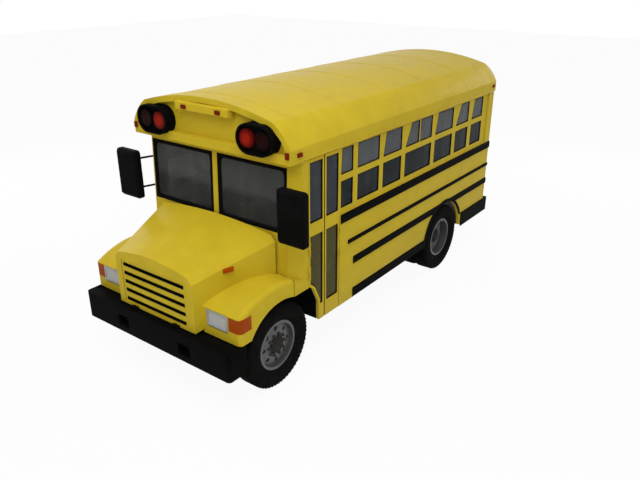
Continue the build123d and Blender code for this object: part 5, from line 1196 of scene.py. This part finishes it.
def build_exit_fittings():
    """The emergency door's rubber seal, and its lever with a plate."""
    low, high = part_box("emergency_door")
    corners = rectangle(high.x - 0.016, (-high.y, high.y), (low.z, high.z))
    seal = bmesh.new()
    tube(seal, inset_loop(corners, AHEAD, 0.001, 0.012), 0.0055, 8, closed=True)
    add_piece("exit_door_seal", seal, "emergency_door", "rubber_seal")
    face_x, lever_y = -3.127, 0.333
    bm = bmesh.new()
    slab(bm, (face_x - 0.008, 0.305, 1.60), (face_x + 0.001, 0.361, 1.84), 0.004)
    pivot = ((0.006, 0.024), (0.016, 0.024), (0.020, 0.019), (0.034, 0.016))
    stack(bm, Vector((face_x, lever_y, 1.80)), ASTERN, pivot, 24)
    # Columns: lift off the door, height
    path = ((0.028, 1.815), (0.036, 1.800), (0.040, 1.770), (0.038, 1.70), (0.032, 1.635),
            (0.026, 1.615))
    tube(bm, [Vector((face_x - lift, lever_y, z)) for lift, z in path], 0.010, 12)
    for z in (1.615, 1.825):
        for y in (lever_y - 0.015, lever_y + 0.015):
            screw = ((0.007, 0.006), (0.010, 0.006), (0.0115, 0.004))
            stack(bm, Vector((face_x, y, z)), ASTERN, screw, 10)
    add_piece("exit_handle", bm, "emergency_door", "trim_black")


# Seats
def pad_mesh(size, voxel, edge):
    """A pad about its own middle, its sides pulled in between the corners, then swollen."""
    waist, side_waist, crown = 0.035, 0.012, 0.012
    bm = bmesh.new()
    half = Vector(size) / 2
    slab(bm, -half, half, edge, 3)
    bmesh.ops.subdivide_edges(bm, edges=bm.edges, cuts=2, use_grid_fill=True)
    for vert in bm.verts:
        u, v = vert.co.x / half.x, vert.co.y / half.y
        vert.co.x *= 1 - waist * (1 - v * v)
        vert.co.y *= 1 - side_waist * (1 - u * u)
        if vert.co.z > 0:
            vert.co.z += crown * (1 - u * u) * (1 - v ** 4)
    mesh = bpy.data.meshes.new("pad_form")
    bm.to_mesh(mesh)
    bm.free()
    return swell(mesh, voxel)


def evaluated_mesh(work):
    """A copy of a mesh as its modifiers leave it."""
    depsgraph = bpy.context.evaluated_depsgraph_get()
    return bpy.data.meshes.new_from_object(work.evaluated_get(depsgraph))


def swell(mesh, voxel):
    """Even mesh, then cloth under pressure, with each point's movement capped."""
    scene = bpy.context.scene
    work = bpy.data.objects.new("pad_work", mesh)
    scene.collection.objects.link(work)
    remesh = work.modifiers.new("Even", "REMESH")
    remesh.mode = "VOXEL"
    remesh.voxel_size = voxel
    even = evaluated_mesh(work)
    work.modifiers.clear()
    work.data = even
    result = even
    frames, pressure, cap = 20, 4.0, sizes().pad_swell
    cloth = work.modifiers.new("Cover", "CLOTH")
    cloth.settings.use_pressure = True
    cloth.settings.uniform_pressure_force = pressure
    cloth.settings.effector_weights.gravity = 0.0
    cloth.point_cache.frame_start = 1
    cloth.point_cache.frame_end = frames
    for step in range(1, frames + 1):
        scene.frame_set(step)
    result = evaluated_mesh(work)
    scene.frame_set(1)
    for before, after in zip(even.vertices, result.vertices):
        move = after.co - before.co
        if move.length > cap:
            after.co = before.co + move * (cap / move.length)
    bpy.data.objects.remove(work)
    return result


def joined(mesh, places, low_z=None):
    """A pad at several places; points under low_z are pressed flat against the board."""
    bm = bmesh.new()
    for matrix in places:
        start = len(bm.verts)
        bm.from_mesh(mesh)
        bm.verts.ensure_lookup_table()
        fresh = bm.verts[start:]
        if low_z is not None:
            for vert in fresh:
                vert.co.z = max(vert.co.z, low_z)
        bmesh.ops.transform(bm, matrix=matrix, verts=fresh)
    return bm


def piping(bm, mesh, places, outline):
    """A welt sewn round a pad: outline points are drawn onto the pad's surface."""
    surface, radius = surface_of(mesh), 0.005
    line = [surface.find_nearest(point)[0] for point in outline]
    for matrix in places:
        tube(bm, [matrix @ point for point in line], radius, 6, closed=True)


def pad_outline(size, z):
    """Closely spaced points round a pad, at a height above its middle."""
    x, y, rounding, pitch = size.x / 2, size.y / 2, 0.035, 0.03
    corners = [Vector(corner) for corner in ((x, y, z), (-x, y, z), (-x, -y, z), (x, -y, z))]
    loop = inset_loop(corners, UP, 0.0, rounding, 6)
    full = []
    for first, second in zip(loop, loop[1:] + loop[:1]):
        parts = max(1, ceil((second - first).length / pitch))
        full += [first.lerp(second, part / parts) for part in range(parts)]
    return full


def build_benches():
    """Five rows of padded benches with piping, boards and bent legs."""
    cushion_size, back_size = Vector((0.385, 0.905, 0.085)), Vector((0.60, 0.905, 0.062))
    cushion, back = pad_mesh(cushion_size, 0.017, 0.022), pad_mesh(back_size, 0.017, 0.020)
    lean = Matrix.Rotation(radians(-80.0), 4, "Y")
    board_half, leg_half = 0.44, 0.40
    # Columns: place behind the bench's front, height
    cushion_at, back_at = (0.200, 1.528), (0.432, 1.775)
    legs = ((0.34, 1.475), (0.36, 1.16), (0.34, 1.140), (0.10, 1.140), (0.08, 1.16), (0.06, 1.475))
    cushion_places, back_places, frames = [], [], bmesh.new()
    for front in BENCH_FRONTS:
        for side in SIDES:
            middle = side * BENCH_Y
            low_place, high_place = (Matrix.Translation((front - behind, middle, z))
                                     for behind, z in (cushion_at, back_at))
            cushion_places.append(low_place)
            back_places.append(high_place @ lean)
            slab(frames, (front - 0.39, middle - board_half, 1.468),
                 (front - 0.02, middle + board_half, 1.484), 0.004)
            for y in (middle - leg_half, middle + leg_half):
                tube(frames, [Vector((front - behind, y, z)) for behind, z in legs], 0.0125, 10)
    welts = bmesh.new()
    piping(welts, cushion, cushion_places, pad_outline(cushion_size, 0.032))
    piping(welts, back, back_places, pad_outline(back_size, 0.026))
    piece = add_piece("bench_cushions", joined(cushion, cushion_places, -0.044), "body",
                      "seat_vinyl", 80.0)
    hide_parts("bench_seats")
    piece = add_piece("bench_backs", joined(back, back_places), "body",
                      "seat_vinyl", 80.0)
    add_piece("bench_piping", welts, "body", "rubber_seal")
    add_piece("bench_legs", frames, "body", "chassis_black")


def build_driver_seat():
    """A padded seat with piping, on a board and bellows."""
    cushion_size, back_size = Vector((0.44, 0.45, 0.10)), Vector((0.60, 0.44, 0.07))
    cushion, back = pad_mesh(cushion_size, 0.015, 0.028), pad_mesh(back_size, 0.015, 0.024)
    slope, lean = (Matrix.Rotation(radians(angle), 4, "Y") for angle in (-3.0, -80.5))
    seat = Matrix.Translation((1.405, DRIVER_Y, 1.580)) @ slope
    rest = Matrix.Translation((1.128, DRIVER_Y, 1.925)) @ lean
    piece = add_piece("driver_cushion", joined(cushion, [seat]), "body",
                      "seat_vinyl", 80.0)
    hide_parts("driver_seat")
    piece = add_piece("driver_backrest", joined(back, [rest]), "body",
                      "seat_vinyl", 80.0)
    welts = bmesh.new()
    piping(welts, cushion, [seat], pad_outline(cushion_size, 0.036))
    piping(welts, back, [rest], pad_outline(back_size, 0.028))
    add_piece("driver_piping", welts, "body", "rubber_seal")
    base, base_x = bmesh.new(), 1.40

    def layer(half_x, half_y, bottom, top, bevel):
        slab(base, (base_x - half_x, DRIVER_Y - half_y, bottom),
             (base_x + half_x, DRIVER_Y + half_y, top), bevel)

    layer(0.20, 0.18, 1.500, 1.528, 0.008)
    for fold in range(8):
        z = 1.165 + fold * 0.042
        layer(0.14, 0.12, z, z + 0.030, 0.012)
        layer(0.12, 0.10, z + 0.024, z + 0.046, 0.004)
    layer(0.15, 0.13, 1.131, 1.170, 0.006)
    add_piece("driver_seat_base", base, "body", "dark_plastic")


# Cabin fittings
def build_dashboard_gauges():
    """Round gauges with marks and needles on the dashboard's slope."""
    rims, dials, marks = bmesh.new(), bmesh.new(), bmesh.new()
    face = Vector((1.965, DRIVER_Y, 1.725))
    normal = Vector((-0.809, 0.0, 0.588))
    first, second = axes_of(normal)

    def spoke(centre, angle, lift, start, end, radius):
        way = first * cos(radians(angle)) + second * sin(radians(angle))
        foot = centre + normal * lift
        tube(marks, [foot + way * start, foot + way * end], radius, 4)

    for across, radius in ((-0.13, 0.045), (0.0, 0.055), (0.13, 0.045), (0.235, 0.026)):
        centre = face + first * across
        inner = radius - 0.006
        hoop(rims, centre, normal, ((-0.012, radius), (0.012, radius), (0.014, radius - 0.004),
                                    (0.006, inner), (-0.012, inner)), 28)
        stack(dials, centre, normal, ((-0.004, radius - 0.002), (0.003, radius - 0.002)), 28)
        for index in range(11):
            spoke(centre, 225 - 27 * index, 0.004, radius * 0.68, radius * 0.84, 0.0011)
        spoke(centre, 200, 0.005, 0.0, radius * 0.7, 0.0014)
    add_piece("gauge_rims", rims, "body", "pale_steel")
    add_piece("gauge_dials", dials, "body", "dark_plastic")
    add_piece("gauge_marks", marks, "body", "headlamp_clear")


def build_entrance_fittings():
    """The doorway's rail and screen, and the rubber where the leaves meet."""
    rail_x, foot_z, inner_y, outer_y = 1.20, 1.129, 0.32, 1.11
    path = ((outer_y, foot_z), (outer_y, 1.82), (1.10, 1.86), (1.07, 1.885), (1.02, 1.89),
            (0.41, 1.89), (0.36, 1.885), (0.33, 1.86), (inner_y, 1.82), (inner_y, foot_z))
    bm = bmesh.new()
    tube(bm, [Vector((rail_x, y, z)) for y, z in path], 0.016, 12)
    for y in (inner_y, outer_y):
        flange = ((0.0, 0.042), (0.005, 0.042), (0.008, 0.020))
        stack(bm, Vector((rail_x, y, foot_z)), UP, flange, 20)
    add_piece("grab_rails", bm, "body", "pale_steel")
    board = bmesh.new()
    slab(board, (rail_x - 0.007, 0.345, 1.19), (rail_x + 0.007, 1.085, 1.80), 0.006)
    for y in (inner_y + 0.018, outer_y - 0.018):
        for z in (1.26, 1.72):
            slab(board, (rail_x - 0.010, y - 0.012, z - 0.022),
                 (rail_x + 0.010, y + 0.012, z + 0.022), 0.005)
    add_piece("doorway_screen", board, "body", "seat_vinyl")
    # Columns: reach beyond the leaf's edge, place across the bus
    section = ((-0.004, 1.180), (0.006, 1.184), (0.0075, 1.197), (0.006, 1.210), (-0.004, 1.214))
    for node, body, edge, way in (("door_leaf_front", "door_front", 0, -1),
                                  ("door_leaf_rear", "door_rear", 1, 1)):
        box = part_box(node)
        bm = bmesh.new()
        skin(bm, [[Vector((box[edge].x + reach * way, y, z)) for reach, y in section]
                  for z in (box[0].z + 0.01, box[1].z - 0.01)], caps=True)
        add_piece(f"{node}_edge_rubber", bm, body, "rubber_seal")


def build_underbody():
    """U-bolts over the springs, with their plates."""
    spring_y, drop = 0.39, UP * -0.17
    bm = bmesh.new()
    for axle_x, top in ((FRONT_AXLE.x, 0.545), (REAR_AXLE.x, 0.659)):
        for side in SIDES:
            y = side * spring_y
            slab(bm, (axle_x - 0.085, y - 0.05, top),
                 (axle_x + 0.085, y + 0.05, top + 0.014), 0.004)
            for x in (axle_x - 0.06, axle_x + 0.06):
                arch = [Vector((x, y + 0.046 * cos(turn), top + 0.012 + 0.018 * sin(turn)))
                        for turn in (pi * step / 8 for step in range(9))]
                tube(bm, [arch[0] + drop, *arch, arch[-1] + drop], 0.008)
    add_piece("spring_u_bolts", bm, "body", "nut_steel")


# Stage
# Columns: name, place, size, power
LIGHTS = (
    ("key_panel", (5.4, 3.2, 9.6), 7.0, 510.0),
    ("fill_panel", (6.0, 9.0, 5.0), 4.0, 30.0),
    ("back_panel", (1.0, -10.0, 4.5), 5.0, 220.0),
    ("rear_panel", (-10.0, 2.5, 4.0), 4.0, 150.0),
)
LIGHT_TARGET = Vector((0, 0, 1.4))
CAMERA_PLACE = (7.131, 5.309, 4.581)
CAMERA_LENS, CAMERA_SENSOR = 35.94, 36.0                # millimetres
CAMERA_AZIMUTH, CAMERA_ELEVATION = 36.833, 23.481       # degrees


def add_to_stage(name, data, spot=(0, 0, 0), view=None):
    """Put a floor, light or camera in the scene, looking along a view."""
    thing = bpy.data.objects.new(name, data)
    thing.location = spot
    if view is not None:
        thing.rotation_euler = view.to_track_quat("-Z", "Y").to_euler()
    bpy.context.scene.collection.objects.link(thing)
    return thing


def build_stage():
    """Floor, lights, world and camera."""
    scene = bpy.context.scene
    bm = bmesh.new()
    bmesh.ops.create_grid(bm, x_segments=8, y_segments=8, size=40.0)
    mesh = bpy.data.meshes.new("studio_floor")
    bm.to_mesh(mesh)
    bm.free()
    mesh.materials.append(make_floor_finish())
    floor = add_to_stage("studio_floor", mesh)
    for name, spot, size, power in LIGHTS:
        light = bpy.data.lights.new(name, "AREA")
        light.size = size
        light.energy = power
        add_to_stage(name, light, spot, LIGHT_TARGET - Vector(spot))
    make_world(scene)
    camera = bpy.data.cameras.new("photo_camera")
    camera.sensor_width = CAMERA_SENSOR
    camera.lens = CAMERA_LENS
    azimuth, elevation = radians(CAMERA_AZIMUTH), radians(CAMERA_ELEVATION)
    level = cos(elevation)
    view = -Vector((cos(azimuth) * level, sin(azimuth) * level, sin(elevation)))
    scene.camera = add_to_stage("photo_camera", camera, CAMERA_PLACE, view)
    scene.view_settings.view_transform = "Standard"


def seen_directly(tree):
    """1 for camera, glossy and transmission rays."""
    path = put(tree, "ShaderNodeLightPath").outputs
    mirrored = arith(tree, "MAXIMUM", path["Is Glossy Ray"], path["Is Transmission Ray"])
    return arith(tree, "MAXIMUM", path["Is Camera Ray"], mirrored)


def make_floor_finish():
    """Pale floor that shows nearly white and keeps a soft shadow."""
    tree, shader = new_finish("studio_white", Roughness=0.9, Specular_IOR_Level=0.0)
    tone = noise(tree, object_coords(tree), 0.4, 3.0)
    feed(tree, shader.inputs["Base Color"], blend_colour(tree, tone, grey(0.86), grey(0.90)))
    white = put(tree, "ShaderNodeEmission", None, {"Color": grey(1), "Strength": 1.0}).outputs[0]
    share = times(tree, seen_directly(tree), 0.94)
    mixed = put(tree, "ShaderNodeMixShader", None, {0: share, 1: shader.outputs[0], 2: white})
    tree.links.new(mixed.outputs[0], tree.nodes["Material Output"].inputs["Surface"])
    return bpy.data.materials["studio_white"]


def make_world(scene):
    """Even light from all round, white where it is seen."""
    scene.world = bpy.data.worlds.new("studio_world")
    scene.world.use_nodes = True
    tree = scene.world.node_tree
    light = tree.nodes["Background"]
    feed(tree, light.inputs["Color"], grey(1))
    feed(tree, light.inputs["Strength"], 0.465)
    white = put(tree, "ShaderNodeBackground", None, {"Color": grey(1), "Strength": 1.0}).outputs[0]
    inputs = {0: seen_directly(tree), 1: light.outputs[0], 2: white}
    mixed = put(tree, "ShaderNodeMixShader", None, inputs)
    tree.links.new(mixed.outputs[0], tree.nodes["World Output"].inputs["Surface"])


# Operators
class BUS_OT_finishes(bpy.types.Operator):
    """Make the finishes and give them to the bus's own pieces."""
    bl_idname = "bus.finishes"
    bl_label = "Finishes"

    def execute(self, context):
        make_finishes()
        dress_nodes()
        tint_parts()
        return {"FINISHED"}


class BUS_OT_tyres(bpy.types.Operator):
    """Treaded tyres for all six wheels."""
    bl_idname = "bus.tyres"
    bl_label = "Tyres"

    def execute(self, context):
        build_tyres()
        return {"FINISHED"}


class BUS_OT_wheel_fittings(bpy.types.Operator):
    """Wheel nuts, valve stems and brake drums."""
    bl_idname = "bus.wheel_fittings"
    bl_label = "Wheel fittings"

    def execute(self, context):
        build_wheel_fittings()
        build_brake_drums()
        return {"FINISHED"}


class BUS_OT_rubber(bpy.types.Operator):
    """Rubber round the windshield, windows and door glass."""
    bl_idname = "bus.rubber"
    bl_label = "Glass rubber"

    def execute(self, context):
        build_window_rubber()
        build_door_rubber()
        return {"FINISHED"}


class BUS_OT_sheet_joints(bpy.types.Operator):
    """Roof seams, drip rails, panel seams and rivets."""
    bl_idname = "bus.sheet_joints"
    bl_label = "Sheet-metal joints"

    def execute(self, context):
        build_roof_seams()
        build_drip_rails()
        build_side_rivets()
        return {"FINISHED"}


class BUS_OT_front_fittings(bpy.types.Operator):
    """Lamp trims, bumper fittings, grille screen and shroud, and mirror glass."""
    bl_idname = "bus.front_fittings"
    bl_label = "Lamps, bumper, grille and mirrors"

    def execute(self, context):
        build_lamp_trims()
        build_bumper_fittings()
        build_grille_screen()
        build_grille_shroud()
        build_mirror_faces()
        return {"FINISHED"}


class BUS_OT_rear_fittings(bpy.types.Operator):
    """Tail lamp rims, blank plate, and the emergency door's seal and lever."""
    bl_idname = "bus.rear_fittings"
    bl_label = "Rear fittings"

    def execute(self, context):
        build_rear_fittings()
        build_exit_fittings()
        return {"FINISHED"}


class BUS_OT_seats(bpy.types.Operator):
    """Padded benches and driver's seat."""
    bl_idname = "bus.seats"
    bl_label = "Seats"

    def execute(self, context):
        build_benches()
        build_driver_seat()
        return {"FINISHED"}


class BUS_OT_cabin_fittings(bpy.types.Operator):
    """Gauges, doorway rail and screen, and door-edge rubber."""
    bl_idname = "bus.cabin_fittings"
    bl_label = "Cabin fittings"

    def execute(self, context):
        build_dashboard_gauges()
        build_entrance_fittings()
        return {"FINISHED"}


class BUS_OT_underbody(bpy.types.Operator):
    """Spring clamps under the bus."""
    bl_idname = "bus.underbody"
    bl_label = "Underbody"

    def execute(self, context):
        build_underbody()
        return {"FINISHED"}


class BUS_OT_stage(bpy.types.Operator):
    """Floor, lights, world and camera."""
    bl_idname = "bus.stage"
    bl_label = "Stage"

    def execute(self, context):
        build_stage()
        return {"FINISHED"}


STEPS = (
    BUS_OT_finishes, BUS_OT_tyres, BUS_OT_wheel_fittings, BUS_OT_rubber, BUS_OT_sheet_joints,
    BUS_OT_front_fittings, BUS_OT_rear_fittings, BUS_OT_seats, BUS_OT_cabin_fittings,
    BUS_OT_underbody, BUS_OT_stage,
)


class BUS_PT_looks(bpy.types.Panel):
    """Sizes, colours and steps of the bus's looks."""
    bl_idname = "BUS_PT_looks"
    bl_label = "School bus"
    bl_space_type = "VIEW_3D"
    bl_region_type = "UI"
    bl_category = "School bus"

    def draw(self, context):
        layout = self.layout
        for group in (context.scene.bus_colours, context.scene.bus_sizes):
            for label in group.bl_rna.properties.keys():
                if label not in ("name", "rna_type"):
                    layout.prop(group, label)
        for step in STEPS:
            layout.operator(step.bl_idname)


CLASSES = (BusColours, BusSizes, *STEPS, BUS_PT_looks)


def register():
    for item in CLASSES:
        bpy.utils.register_class(item)
    bpy.types.Scene.bus_colours = PointerProperty(type=BusColours)
    bpy.types.Scene.bus_sizes = PointerProperty(type=BusSizes)


def unregister():
    del bpy.types.Scene.bus_sizes
    del bpy.types.Scene.bus_colours
    for item in reversed(CLASSES):
        bpy.utils.unregister_class(item)


def main():
    register()
    for step in STEPS:
        family, name = step.bl_idname.split(".")
        getattr(getattr(bpy.ops, family), name)()


if __name__ == "__main__":
    main()
